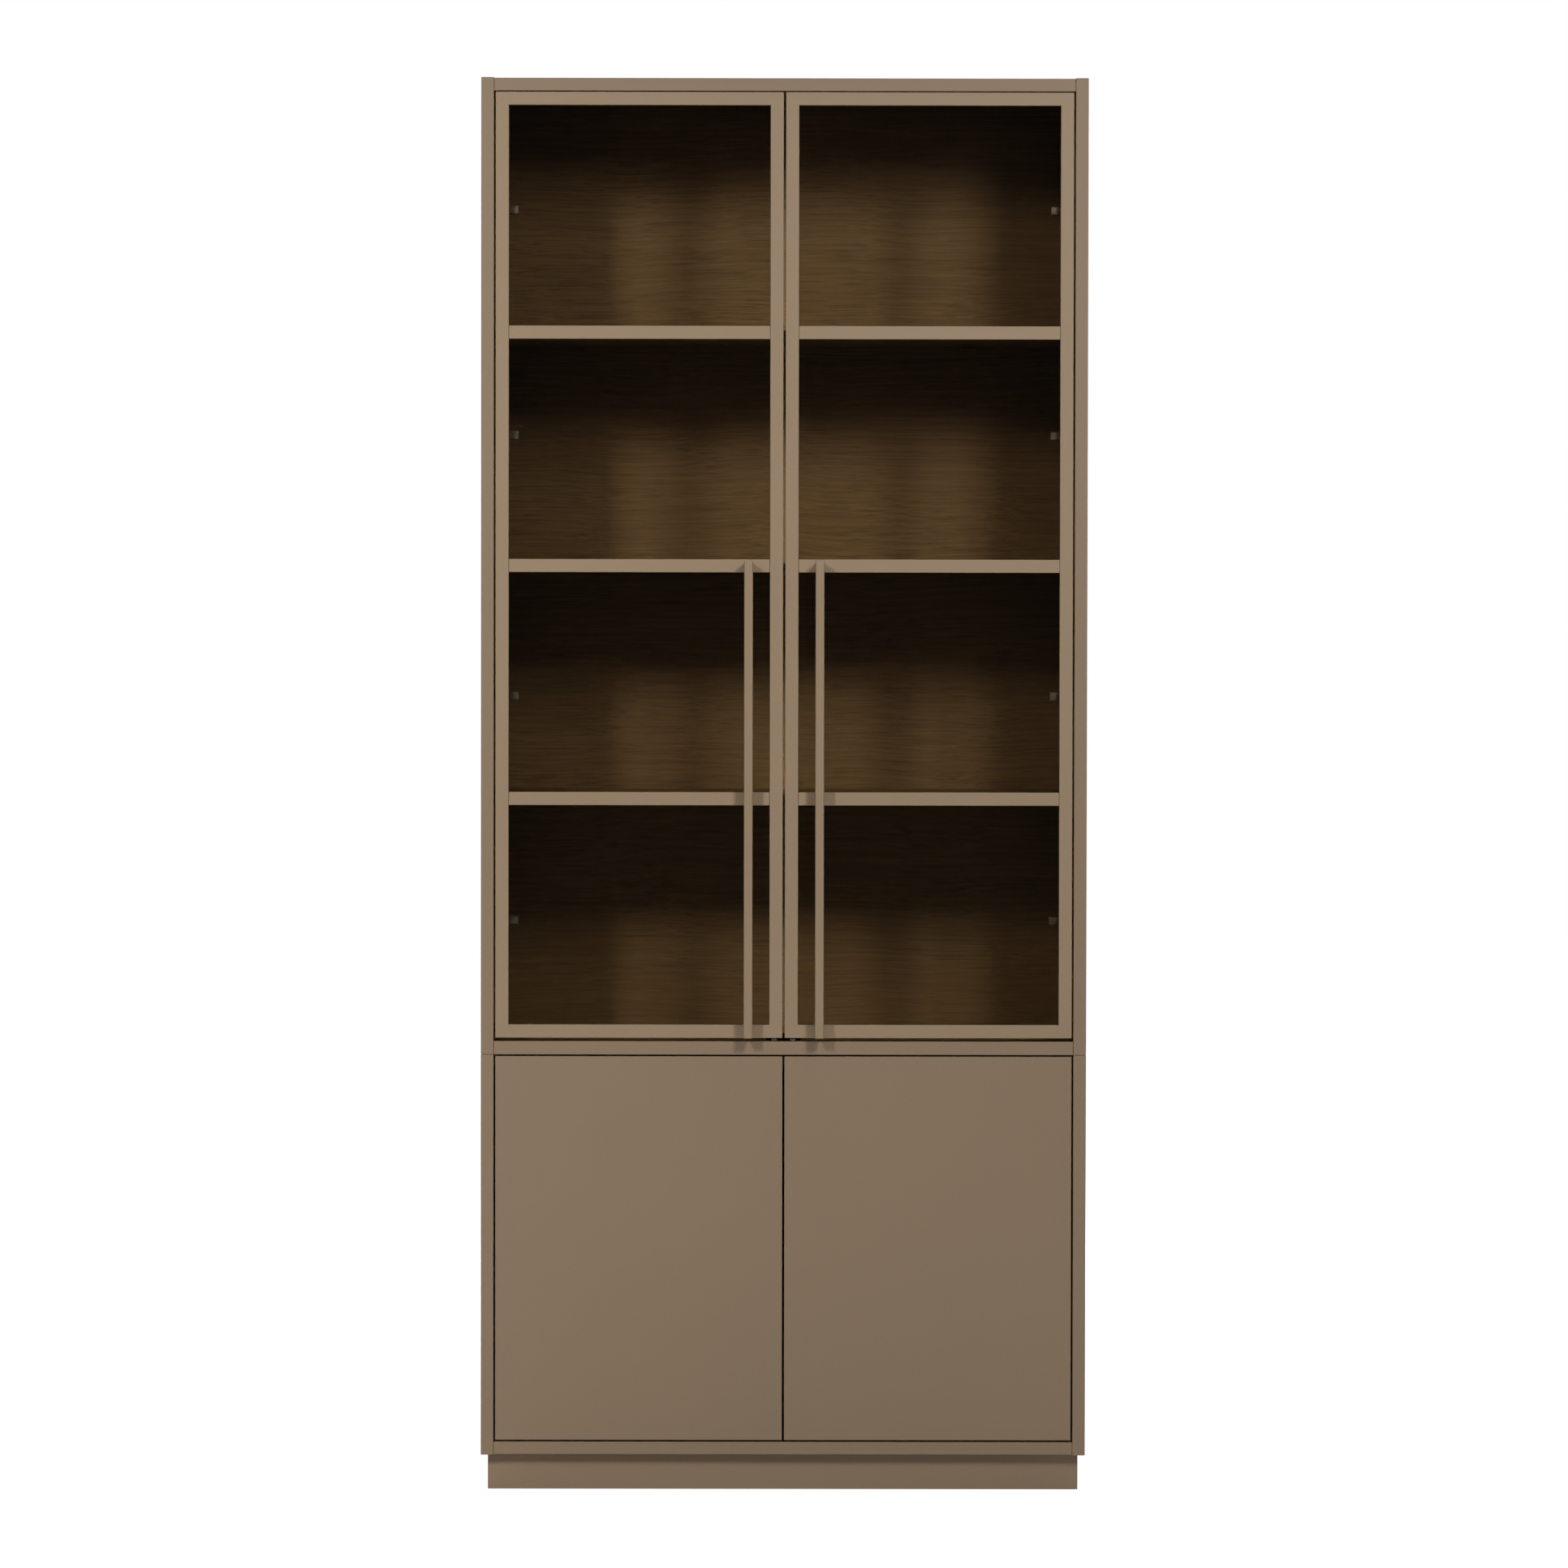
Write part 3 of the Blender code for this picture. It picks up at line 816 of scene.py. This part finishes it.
def join_copies(piece, name, matrices):
    """Copies of a piece at several places, joined as one."""
    copies = [copy_to(piece, f"{name}_{number}", matrix) for number, matrix in enumerate(matrices)]
    choose(*copies)
    bpy.ops.object.join()
    copies[0].name = name
    copies[0].data.name = name
    return copies[0]


def coat(piece, slot):
    """Gives a new piece its finish."""
    piece.data.materials.clear()
    piece.data.materials.append(bpy.data.materials[FINISH_OF_SLOT[slot]])


def dress(piece, body, slot):
    """Gives a new piece its finish and makes it ride on a body."""
    coat(piece, slot)
    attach(piece, body)
    return piece


def mirror_to(place, side):
    """Moves a template to a place. On the right, its X axis points the other way."""
    turn = MIRROR if side > 0 else Matrix.Identity(4)
    return Matrix.Translation(place) @ turn


# Stage


def is_none(tree, count):
    """1 where a whole count is 0."""
    return calculate(tree, "LESS_THAN", count, 0.5)


def seen_background(tree, rearward, ramp):
    """1 where the white background shows: to the camera, through glass and, at the rear, in mirrors."""
    path = add_node(tree, "LightPath").outputs
    behind = scale_range(tree, rearward, (0.0, ramp))
    allowed = calculate(tree, "MAXIMUM", behind, is_none(tree, path["Glossy Depth"]))
    through = calculate(tree, "MULTIPLY", path["Is Transmission Ray"], allowed)
    mirrored = calculate(tree, "MULTIPLY", path["Is Glossy Ray"], behind)
    either = calculate(tree, "MAXIMUM", mirrored, through)
    seen = calculate(tree, "MULTIPLY", either, is_none(tree, path["Diffuse Depth"]))
    return calculate(tree, "MAXIMUM", seen, path["Is Camera Ray"])


def add_camera(context, studio):
    bpy.ops.object.camera_add(location=studio.camera_place)
    camera = context.active_object
    camera.name = "camera"
    pitch, roll, yaw = studio.camera_turn
    level = Matrix.Rotation(math.radians(90), 3, "X")
    turn = Matrix.Rotation(yaw, 3, "Z") @ Matrix.Rotation(pitch, 3, "X") @ Matrix.Rotation(roll, 3, "Y")
    camera.rotation_euler = (turn @ level).to_euler()
    camera.data.lens = studio.camera_lens
    camera.data.sensor_width = SENSOR_WIDTH
    context.scene.camera = camera


def add_lamps(studio):
    key_size = (studio.key_width, studio.key_height)
    for word in SIDES:
        place, target, power, spread = (
            getattr(studio, f"{word}_key_{kind}") for kind in ("place", "target", "power", "spread")
        )
        add_lamp(f"{word}_key", place, target, key_size, power, spread)
    fill_size = (studio.fill_width, studio.fill_height)
    fill_beam = (studio.fill_power, studio.fill_spread)
    add_lamp("low_fill", studio.fill_place, studio.fill_target, fill_size, *fill_beam)
    across, rear, up = studio.rear_place
    rear_size = (studio.rear_size, studio.rear_size)
    for word, side in SIDES.items():
        place = (side * across, rear, up)
        lamp = add_lamp(f"{word}_rear", place, (0, 0, up / 2), rear_size, studio.rear_power)
        lamp.visible_glossy = False


def add_lamp(name, place, target, size, power, spread=math.pi):
    """An area lamp that faces the target, unseen by the camera."""
    bpy.ops.object.light_add(type="AREA", location=place)
    lamp = bpy.context.active_object
    lamp.name = name
    lamp.rotation_euler = (Vector(target) - Vector(place)).to_track_quat("-Z", "Y").to_euler()
    lamp.data.shape = "RECTANGLE"
    lamp.data.size, lamp.data.size_y = size
    lamp.data.energy = power
    lamp.data.spread = spread
    lamp.visible_camera = False
    return lamp


def make_room(context, studio):
    """A white room behind the cabinet for camera, mirror and glass, and a dim one for light."""
    world = bpy.data.worlds.new("studio")
    context.scene.world = world
    world.use_nodes = True
    tree = world.node_tree
    tree.nodes.clear()
    direction = add_node(tree, "TexCoord").outputs["Generated"]
    seen = seen_background(tree, part_of(tree, direction, "Y"), ROOM_RAMP)
    mirrored = add_node(tree, "LightPath").outputs["Is Glossy Ray"]
    level = mix_values(tree, mirrored, studio.ambient, studio.mirrored_room)
    dim = add_node(tree, "Background", {"Color": solid(WHITE), "Strength": level})
    white = add_node(tree, "Background", {"Color": solid(WHITE), "Strength": 1.0})
    output = add_node(tree, "OutputWorld")
    feed(tree, output.inputs["Surface"], mix_shaders(tree, seen, dim, white))


def add_floor(studio):
    deselect_all()
    bpy.ops.mesh.primitive_circle_add(vertices=FLOOR_SIDES, radius=studio.floor_radius, fill_type="NGON")
    floor = bpy.context.active_object
    floor.name = "floor"
    tree, output, place = new_material("pale_floor")
    texture = use_group(tree, "fine_texture", Place=place, Grain=35.0)
    base = studio.floor_colour
    colour = mix_colours(tree, texture["Specks"], shade(base, 0.95), shade(base, 1.05))
    matt = add_node(tree, "BsdfDiffuse", {"Color": colour})
    seen = seen_background(tree, part_of(tree, place, "Y"), FLOOR_RAMP)
    away = add_node(tree, "VectorMath", {0: place}, operation="LENGTH").outputs["Value"]
    level = scale_range(tree, away, FLOOR_GLOW_REACH, FLOOR_GLOW)
    # Painted shade: the glow fades out in under the cabinet's rear
    outside = outside_plinth(tree, place, studio.painted_floor_shade)
    glow = calculate(tree, "MULTIPLY", seen, calculate(tree, "MULTIPLY", level, outside))
    white = add_node(tree, "Emission", {"Color": solid(WHITE), "Strength": glow})
    both = add_node(tree, "AddShader", {0: matt.outputs["BSDF"], 1: white.outputs["Emission"]})
    feed(tree, output.inputs["Surface"], both.outputs["Shader"])
    floor.data.materials.append(bpy.data.materials["pale_floor"])


def outside_plinth(tree, place, painted_shade_depth):
    """1 on the open floor, falling to 0 where it runs in under the cabinet from the rear. This fade of the glow
    paints a soft shade in under the rear.
    """
    low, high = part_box("plinth_right")
    across = calculate(tree, "ABSOLUTE", part_of(tree, place, "X"))
    depth = part_of(tree, place, "Y")
    beside = calculate(tree, "GREATER_THAN", across, high.x)
    in_front = calculate(tree, "LESS_THAN", depth, low.y)
    behind = scale_range(tree, depth, (high.y - painted_shade_depth, high.y))
    return calculate(tree, "MAXIMUM", calculate(tree, "MAXIMUM", beside, in_front), behind)


class CABINET_OT_stage(bpy.types.Operator):
    """Adds the camera, the lamps, the room and the floor"""

    bl_idname = "cabinet.stage"
    bl_label = "Add Stage"

    def execute(self, context):
        studio = context.scene.cabinet_studio
        deselect_all()
        context.scene.view_settings.view_transform = "Standard"
        add_camera(context, studio)
        add_lamps(studio)
        make_room(context, studio)
        add_floor(studio)
        return {"FINISHED"}


# Finishes of the frame


class CABINET_OT_finishes(bpy.types.Operator):
    """Makes the finishes and paints the frame's boards, doors and fittings with them"""

    bl_idname = "cabinet.finishes"
    bl_label = "Paint Finishes"

    def execute(self, context):
        lacquer, oak = LACQUER_SURFACE, OAK_SURFACE
        above, below = "GREATER_THAN", "LESS_THAN"
        make_finish("sprayed_lacquer", lacquer, lacquer_look, finishes().lacquer_colour)
        # The profile lacquer is the board lacquer painted lighter, a painted highlight on the frames, bars and
        # handles
        make_finish("sprayed_profile", lacquer, lacquer_look, finishes().lit_profile_colour)
        make_finish("oak_faces", oak, oak_look)
        make_finish("lacquer_with_oak_inside", lacquer, side_look)
        make_finish("lacquer_with_oak_below", lacquer, board_look, below, TOP_BOARD_UNDERSIDE + TOUCH)
        make_finish("lacquer_with_oak_above", lacquer, board_look, above, MIDDLE_BOARD_TOP - TOUCH)
        make_finish("lacquer_with_oak_base_floor", lacquer, board_look, above, BASE_FLOOR_TOP - TOUCH)
        make_finish("oak_with_bare_rear", oak, back_look)
        make_glass()
        make_finish("plated_steel", STEEL_SURFACE, steel_look)
        make_finish("moulded_plastic", PLASTIC_SURFACE, plastic_look)
        for row in frame["record"]["subparts"]:
            node = row["node"]
            finish = MIXED_FINISHES.get(node, FINISH_OF_SLOT[row["material_slot"]])
            frame["nodes"][node].material_slots[0].material = bpy.data.materials[finish]
        return {"FINISHED"}


# Handles


def model_handle(sizes):
    """The left handle: a bar, with a post drawn out towards each place that carries it."""
    low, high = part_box("left_door_handle")
    bar_rear = low.y + sizes.handle_thickness
    half = sizes.post_height / 2
    carried = [sum(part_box(f"left_door_{bar}_bar"), Vector()).z / 2 for bar in BARS[:2]]
    posts = [low.z + high.z - carried[-1], *carried]
    handle = start_block("left_handle_bar", low, (high.x, bar_rear, high.z))
    open_piece(handle)
    for post in posts:
        cut_across(Z, post - half, post + half)
    pick_faces(
        lambda middle, normal: normal.y > ALONG_AXIS
        and any(abs(middle.z - post) < half for post in posts),
    )
    extrude((0, high.y - bar_rear, 0))
    pick_edges(lambda edge: is_sharp(edge) and edge.is_convex and not at_foot(edge, high.y))
    round_edges(sizes.handle_edge, steps=5)
    close_piece()
    smooth_faces()
    return handle


def at_foot(edge, foot):
    return all(vertex.co.y > foot - TOUCH for vertex in edge.verts)


class CABINET_OT_handles(bpy.types.Operator):
    """Models the handle bars with evenly rounded edges"""

    bl_idname = "cabinet.handles"
    bl_label = "Add Handles"

    def execute(self, context):
        left = model_handle(context.scene.cabinet_fittings)
        right = copy_to(left, "right_handle_bar", MIRROR)
        for word, handle in zip(SIDES, (left, right)):
            dress(handle, f"{word}_glass_door", "frame_lacquer")
            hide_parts(f"{word}_door_handle")
        return {"FINISHED"}


# Glazing beads


def model_bead(sizes):
    """The left bead: a block behind the pane, opened in the middle and rounded at the rear."""
    pane_low, pane_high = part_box("left_door_pane")
    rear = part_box("left_door_frame")[1].y - sizes.bead_recess
    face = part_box("left_door_lower_bar")[0].x - pane_low.x
    low = Vector((pane_low.x, pane_high.y + TOUCH, pane_low.z))
    high = Vector((pane_high.x, rear, pane_high.z))
    bead = start_block("left_glazing_bead", low, high)
    open_piece(bead)
    pick_faces(lambda middle, normal: abs(normal.y) > ALONG_AXIS)
    bpy.ops.mesh.inset(thickness=face)
    bpy.ops.mesh.bridge_edge_loops()
    face_outwards()
    pick_edges(lambda edge: is_sharp(edge) and faces_shelves(edge, low, high))
    round_edges(sizes.bead_round, steps=4)
    close_piece()
    smooth_faces()
    return bead


def faces_shelves(edge, low, high):
    """True for the inner rear edges."""
    middle = (edge.verts[0].co + edge.verts[1].co) / 2
    inside = low.x + TOUCH < middle.x < high.x - TOUCH and low.z + TOUCH < middle.z < high.z - TOUCH
    return inside and all(vertex.co.y > high.y - TOUCH for vertex in edge.verts)


class CABINET_OT_glazing_beads(bpy.types.Operator):
    """Models the beads that hold the panes in the door frames from behind"""

    bl_idname = "cabinet.glazing_beads"
    bl_label = "Add Glazing Beads"

    def execute(self, context):
        left = model_bead(context.scene.cabinet_fittings)
        right = copy_to(left, "right_glazing_bead", MIRROR)
        for word, bead in zip(SIDES, (left, right)):
            dress(bead, f"{word}_glass_door", "dark_plastic")
        return {"FINISHED"}


# Screws and hinges


def model_screw(sizes):
    """A raised screw head with a cross recess. It sits on the origin and points up."""
    radius = sizes.screw_radius
    height = sizes.screw_height
    deselect_all()
    bpy.ops.mesh.primitive_cylinder_add(
        vertices=SCREW_SIDES, radius=radius, depth=height, location=(0, 0, height / 2)
    )
    screw = settle_start("screw")
    open_piece(screw)
    pick_edges(lambda edge: is_sharp(edge) and min(end.co.z for end in edge.verts) > height / 2)
    round_edges(height * SCREW_ROUND, steps=3)
    close_piece()
    long = radius * RECESS_LENGTH
    narrow = radius * RECESS_WIDTH
    for across, along in ((long, narrow), (narrow, long)):
        low = (-across, -along, height * RECESS_FLOOR)
        cut_with(screw, start_block("recess", low, (across, along, height * 2)))
    choose(screw)
    smooth_faces()
    return screw


def add_screws(screw, name, places, body):
    """Copies of a screw, joined as one piece that rides on a body."""
    dress(join_copies(screw, name, places), body, "hinge_steel")


def model_arm(sizes, size):
    """An arm for the left: X runs from the side panel inwards and Y from the nose to the rear."""
    half = size.z / 2
    shoulder = sizes.arm_nose + sizes.arm_crank
    seat = sizes.plate_thickness + TOUCH
    arm = start_block("arm", (seat, shoulder, -half), (sizes.arm_stem, size.y, half))
    stem_middle = (seat + sizes.arm_stem) / 2
    nose_middle = (sizes.arm_nose_root + size.x) / 2
    swell = (size.x - sizes.arm_nose_root) / (sizes.arm_stem - seat)
    open_piece(arm)
    pick_faces(lambda middle, normal: normal.y < -ALONG_AXIS)
    extrude((nose_middle - stem_middle, -sizes.arm_crank, 0))
    bpy.ops.transform.resize(value=(swell, 1, 1), center_override=(nose_middle, sizes.arm_nose, 0))
    extrude((0, -sizes.arm_nose, 0))
    pick_faces(lambda middle, normal: normal.x > ALONG_AXIS and middle.y > shoulder)
    bpy.ops.mesh.inset(thickness=sizes.arm_rim)
    extrude((-sizes.arm_slot, 0, 0))
    close_piece()
    finish_edges(arm, ARM_EDGE)
    return arm


def model_hinge_plate(sizes, size):
    """A mounting plate under the arm's stem, with a round-ended wing above and below."""
    middle = plate_middle(sizes, size)
    half_length = sizes.plate_length / 2
    half_height = sizes.plate_height / 2
    low = (0, middle - half_length, -half_height)
    high = (sizes.plate_thickness, middle + half_length, half_height)
    plate = start_block("plate", low, high)
    open_piece(plate)
    pick_edges(lambda edge: runs_along(edge, X))
    round_edges(half_length * PLATE_CORNER, steps=6)
    close_piece()
    finish_edges(plate, PLATE_EDGE)
    return plate


def plate_middle(sizes, size):
    return (sizes.arm_nose + sizes.arm_crank + size.y) / 2


def place_hinge(sizes, templates, word, kind, number, arm_node, cup_node):
    """Puts one hinge together round the frame's own arm and cup."""
    arm, plate, screw = templates
    side = SIDES[word]
    door = f"{word}_{kind}_door"
    name = f"{word}_{kind}_hinge"
    low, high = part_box(arm_node)
    height = (low.z + high.z) / 2
    home = mirror_to((low.x if side < 0 else high.x, low.y, height), side)
    new_arm = dress(copy_to(arm, f"{name}_arm_{number}", home), "cabinet", "hinge_steel")
    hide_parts(arm_node)
    dress(copy_to(plate, f"{name}_plate_{number}", home), "cabinet", "hinge_steel")
    on_arm = [home @ seat for seat in arm_screw_seats(sizes, high - low)]
    add_screws(screw, f"{name}_arm_screws_{number}", on_arm, "cabinet")
    on_cup = cup_screw_seats(sizes, cup_node, side)
    add_screws(screw, f"{name}_cup_screws_{number}", on_cup, door)
    add_link(sizes, f"{name}_link_{number}", arm_node, cup_node, side, door)


def arm_screw_seats(sizes, size):
    """Two screws on the plate's wings and the adjusting screw in the arm's slot."""
    inwards = Matrix.Rotation(math.radians(90), 4, "Y")
    middle = plate_middle(sizes, size)
    wing = sizes.plate_height / 2 - sizes.plate_length * WING_SCREW
    slot_floor = sizes.arm_stem - sizes.arm_slot
    wings = [(sizes.plate_thickness, middle, height) for height in (wing, -wing)]
    return [Matrix.Translation(seat) @ inwards for seat in (*wings, (slot_floor, middle, 0))]


def cup_screw_seats(sizes, cup_node, side):
    """Two screws on the cup's flange, above and below its middle."""
    low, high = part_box(cup_node)
    rearwards = Matrix.Rotation(math.radians(-90), 4, "X")
    if "base" in cup_node:
        across = (low.x + high.x) / 2
    else:
        across = (low.x if side < 0 else high.x) - side * sizes.flange_width / 2
    reach = (high.z - low.z) / 2 - sizes.screw_radius - sizes.screw_margin
    middle = (low.z + high.z) / 2
    heights = (middle + reach, middle - reach)
    return [Matrix.Translation((across, high.y, height)) @ rearwards for height in heights]


def add_link(sizes, name, arm_node, cup_node, side, door):
    """A link curved about the door's axis, reaching from the cup round to the arm with the door shut."""
    axis = DOOR_AXES[door]
    arm_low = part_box(arm_node)[0]
    cup_low, cup_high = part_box(cup_node)
    height = (cup_low.z + cup_high.z) / 2
    radius = sizes.link_radius
    arm_end = math.asin((arm_low.y + sizes.arm_nose * LINK_ROOT - axis.y) / radius)
    cup_end = math.asin(((cup_low.y + cup_high.y) / 2 - axis.y) / radius)
    link = model_link(sizes, name, arm_end - cup_end)
    home = mirror_to((axis.x, axis.y, height), side)
    link.data.transform(home @ Matrix.Rotation(cup_end, 4, "Z"))
    if side > 0:
        link.data.flip_normals()
    coat(link, "hinge_steel")
    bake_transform(link)


def model_link(sizes, name, angle):
    """A flat strap spun about the upright axis at the origin, from +X towards +Y."""
    deselect_all()
    bpy.ops.mesh.primitive_plane_add(
        size=1, location=(sizes.link_radius, 0, 0), rotation=(math.radians(90), 0, 0)
    )
    link = bpy.context.active_object
    link.scale = (sizes.link_thickness, sizes.link_height, 1)
    settle_start(name)
    open_piece(link)
    bpy.ops.mesh.select_all(action="SELECT")
    # Spin turns clockwise for a positive angle
    bpy.ops.mesh.spin(steps=sizes.link_steps, angle=-angle, center=(0, 0, 0), axis=(0, 0, 1))
    bpy.ops.mesh.select_all(action="SELECT")
    bpy.ops.mesh.fill_holes(sides=4)
    face_outwards()
    close_piece()
    smooth_faces()
    return link


class CABINET_OT_hinges(bpy.types.Operator):
    """Models the hinges' cranked arms, mounting plates, curved links and screws"""

    bl_idname = "cabinet.hinges"
    bl_label = "Add Hinges"

    def execute(self, context):
        sizes = context.scene.cabinet_fittings
        low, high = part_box("left_hinge_arm_1")
        arm = model_arm(sizes, high - low)
        plate = model_hinge_plate(sizes, high - low)
        templates = (arm, plate, model_screw(sizes))
        for word in SIDES:
            for number in GLASS_HINGES:
                nodes = (f"{word}_hinge_arm_{number}", f"{word}_door_hinge_cup_{number}")
                place_hinge(sizes, templates, word, "glass", number, *nodes)
            for number in BASE_HINGES:
                nodes = (f"{word}_base_hinge_arm_{number}", f"{word}_base_hinge_cup_{number}")
                place_hinge(sizes, templates, word, "lower", number, *nodes)
        for template in templates:
            remove(template)
        return {"FINISHED"}


# Shelf supports


def model_support(sizes):
    """A support for the left: a tab down the side panel and a tongue under the shelf."""
    half = sizes.support_width / 2
    reach = sizes.support_reach
    thick = sizes.support_thickness
    support = start_block("support", (0, -half, -reach), (thick, half, 0))
    open_piece(support)
    cut_across(Z, -thick)
    pick_faces(lambda middle, normal: normal.x > ALONG_AXIS and middle.z > -thick)
    extrude((reach - thick, 0, 0))
    pick_edges(
        lambda edge: (runs_along(edge, Z) and edge.verts[0].co.x > reach - TOUCH)
        or (runs_along(edge, X) and edge.verts[0].co.z < TOUCH - reach),
    )
    round_edges(half * SUPPORT_CORNER, steps=4)
    close_piece()
    finish_edges(support, SUPPORT_EDGE)
    return support


class CABINET_OT_shelf_supports(bpy.types.Operator):
    """Models the four L-shaped supports under each shelf"""

    bl_idname = "cabinet.shelf_supports"
    bl_label = "Add Shelf Supports"

    def execute(self, context):
        sizes = context.scene.cabinet_fittings
        template = model_support(sizes)
        for shelf in [*(f"{bar}_shelf" for bar in BARS), "base_shelf"]:
            low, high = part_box(shelf)
            rows = {"front": low.y + sizes.support_inset, "rear": high.y - sizes.support_inset}
            for word, side in SIDES.items():
                for row, depth in rows.items():
                    place = (side * (INNER_FACE - TOUCH), depth, low.z - TOUCH)
                    support = copy_to(template, f"{shelf}_support_{word}_{row}", mirror_to(place, side))
                    dress(support, "cabinet", "hinge_steel")
        remove(template)
        return {"FINISHED"}


# Catch


def model_catch(sizes, low, high, prong_top):
    """A block behind the doors with two prongs drawn out under them."""
    block_front = high.y - sizes.catch_depth
    half = sizes.catch_prong / 2
    middles = [side * sizes.catch_spacing / 2 for side in SIDES.values()]
    body = start_block("catch_body", (low.x, block_front, low.z), high)
    open_piece(body)
    cut_across(Z, prong_top)
    for middle in middles:
        cut_across(X, middle - half, middle + half)
    pick_faces(
        lambda face, normal: normal.y < -ALONG_AXIS
        and face.z < prong_top
        and any(abs(face.x - middle) < half for middle in middles),
    )
    extrude((0, low.y + sizes.catch_plate_proud - block_front, 0))
    close_piece()
    finish_edges(body, CATCH_EDGE, steps=3)
    return body


def model_channel(sizes, height):
    """A steel channel, open at the top, in the front end of a prong."""
    half = sizes.catch_plate_width / 2
    wall = sizes.catch_plate_thickness
    depth = sizes.catch_prong
    plate = start_block("plate", (-half, 0, 0), (half, depth, height - TOUCH))
    magnet = start_block("magnet", (wall - half, -depth, wall), (half - wall, 2 * depth, 2 * height))
    cut_with(plate, magnet)
    finish_edges(plate, CHANNEL_EDGE)
    return plate


class CABINET_OT_catch(bpy.types.Operator):
    """Models the magnetic catch under the glass doors, with the steel plates round its magnets"""

    bl_idname = "cabinet.catch"
    bl_label = "Add Catch"

    def execute(self, context):
        sizes = context.scene.cabinet_fittings
        low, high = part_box("magnetic_catch")
        prong_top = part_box("left_door_frame")[0].z - sizes.catch_headroom
        body = dress(model_catch(sizes, low, high, prong_top), "cabinet", "dark_plastic")
        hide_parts("magnetic_catch")
        plate = model_channel(sizes, prong_top - low.z)
        middles = [side * sizes.catch_spacing / 2 for side in SIDES.values()]
        places = [Matrix.Translation((middle, low.y, low.z + TOUCH)) for middle in middles]
        dress(join_copies(plate, "catch_plates", places), "cabinet", "hinge_steel")
        remove(plate)
        screw = model_screw(sizes)
        across = (high.x - low.x) * CATCH_SCREW
        depth = high.y - sizes.screw_radius - sizes.screw_margin
        seats = [Matrix.Translation((side * across, depth, high.z)) for side in SIDES.values()]
        add_screws(screw, "catch_screws", seats, "cabinet")
        remove(screw)
        return {"FINISHED"}


# Latch ears


def model_ear(sizes):
    """One ear that stands out along +X under a board, with round outer corners."""
    half = sizes.ear_length / 2
    ear = start_block("ear", (0, -half, -sizes.ear_thickness), (sizes.ear_reach, half, 0))
    open_piece(ear)
    pick_edges(lambda edge: runs_along(edge, Z) and edge.verts[0].co.x > TOUCH)
    round_edges(half * EAR_CORNER, steps=5)
    close_piece()
    finish_edges(ear, EAR_EDGE)
    return ear


class CABINET_OT_latch_ears(bpy.types.Operator):
    """Models the screw ears of the push latches, with their screws"""

    bl_idname = "cabinet.latch_ears"
    bl_label = "Add Latch Ears"

    def execute(self, context):
        sizes = context.scene.cabinet_fittings
        ear = model_ear(sizes)
        screw = model_screw(sizes)
        upside_down = Matrix.Rotation(math.radians(180), 4, "X")
        for word in SIDES:
            low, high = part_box(f"{word}_latch_housing")
            middle = (low.y + high.y) / 2
            places = [
                mirror_to((low.x - TOUCH, middle, high.z), 1),
                mirror_to((high.x + TOUCH, middle, high.z), -1),
            ]
            dress(join_copies(ear, f"{word}_latch_ears", places), "cabinet", "dark_plastic")
            seat = Vector((sizes.ear_reach / 2, 0, -sizes.ear_thickness))
            turned = [place @ Matrix.Translation(seat) @ upside_down for place in places]
            add_screws(screw, f"{word}_latch_screws", turned, "cabinet")
        remove(ear)
        remove(screw)
        return {"FINISHED"}


# Registration

OPERATORS = (
    CABINET_OT_stage,
    CABINET_OT_finishes,
    CABINET_OT_handles,
    CABINET_OT_glazing_beads,
    CABINET_OT_hinges,
    CABINET_OT_shelf_supports,
    CABINET_OT_catch,
    CABINET_OT_latch_ears,
)

SETTINGS = {
    "cabinet_finishes": CabinetFinishes,
    "cabinet_fittings": CabinetFittings,
    "cabinet_studio": CabinetStudio,
}


class CABINET_PT_looks(bpy.types.Panel):
    """Lists what makes the cabinet's looks"""

    bl_idname = "CABINET_PT_looks"
    bl_label = "Display Cabinet"
    bl_space_type = "VIEW_3D"
    bl_region_type = "UI"
    bl_category = "Cabinet"

    def draw(self, context):
        for operator in OPERATORS:
            self.layout.operator(operator.bl_idname)
        for group in SETTINGS:
            settings = getattr(context.scene, group)
            box = self.layout.box()
            for name in settings.__annotations__:
                box.prop(settings, name)


CLASSES = (*SETTINGS.values(), *OPERATORS, CABINET_PT_looks)


def register():
    for cls in CLASSES:
        bpy.utils.register_class(cls)
    for group, cls in SETTINGS.items():
        setattr(bpy.types.Scene, group, PointerProperty(type=cls))


def unregister():
    for group in SETTINGS:
        delattr(bpy.types.Scene, group)
    for cls in reversed(CLASSES):
        bpy.utils.unregister_class(cls)


def main():
    register()
    bpy.ops.cabinet.stage()
    bpy.ops.cabinet.finishes()
    bpy.ops.cabinet.handles()
    bpy.ops.cabinet.glazing_beads()
    bpy.ops.cabinet.hinges()
    bpy.ops.cabinet.shelf_supports()
    bpy.ops.cabinet.catch()
    bpy.ops.cabinet.latch_ears()


if __name__ == "__main__":
    main()
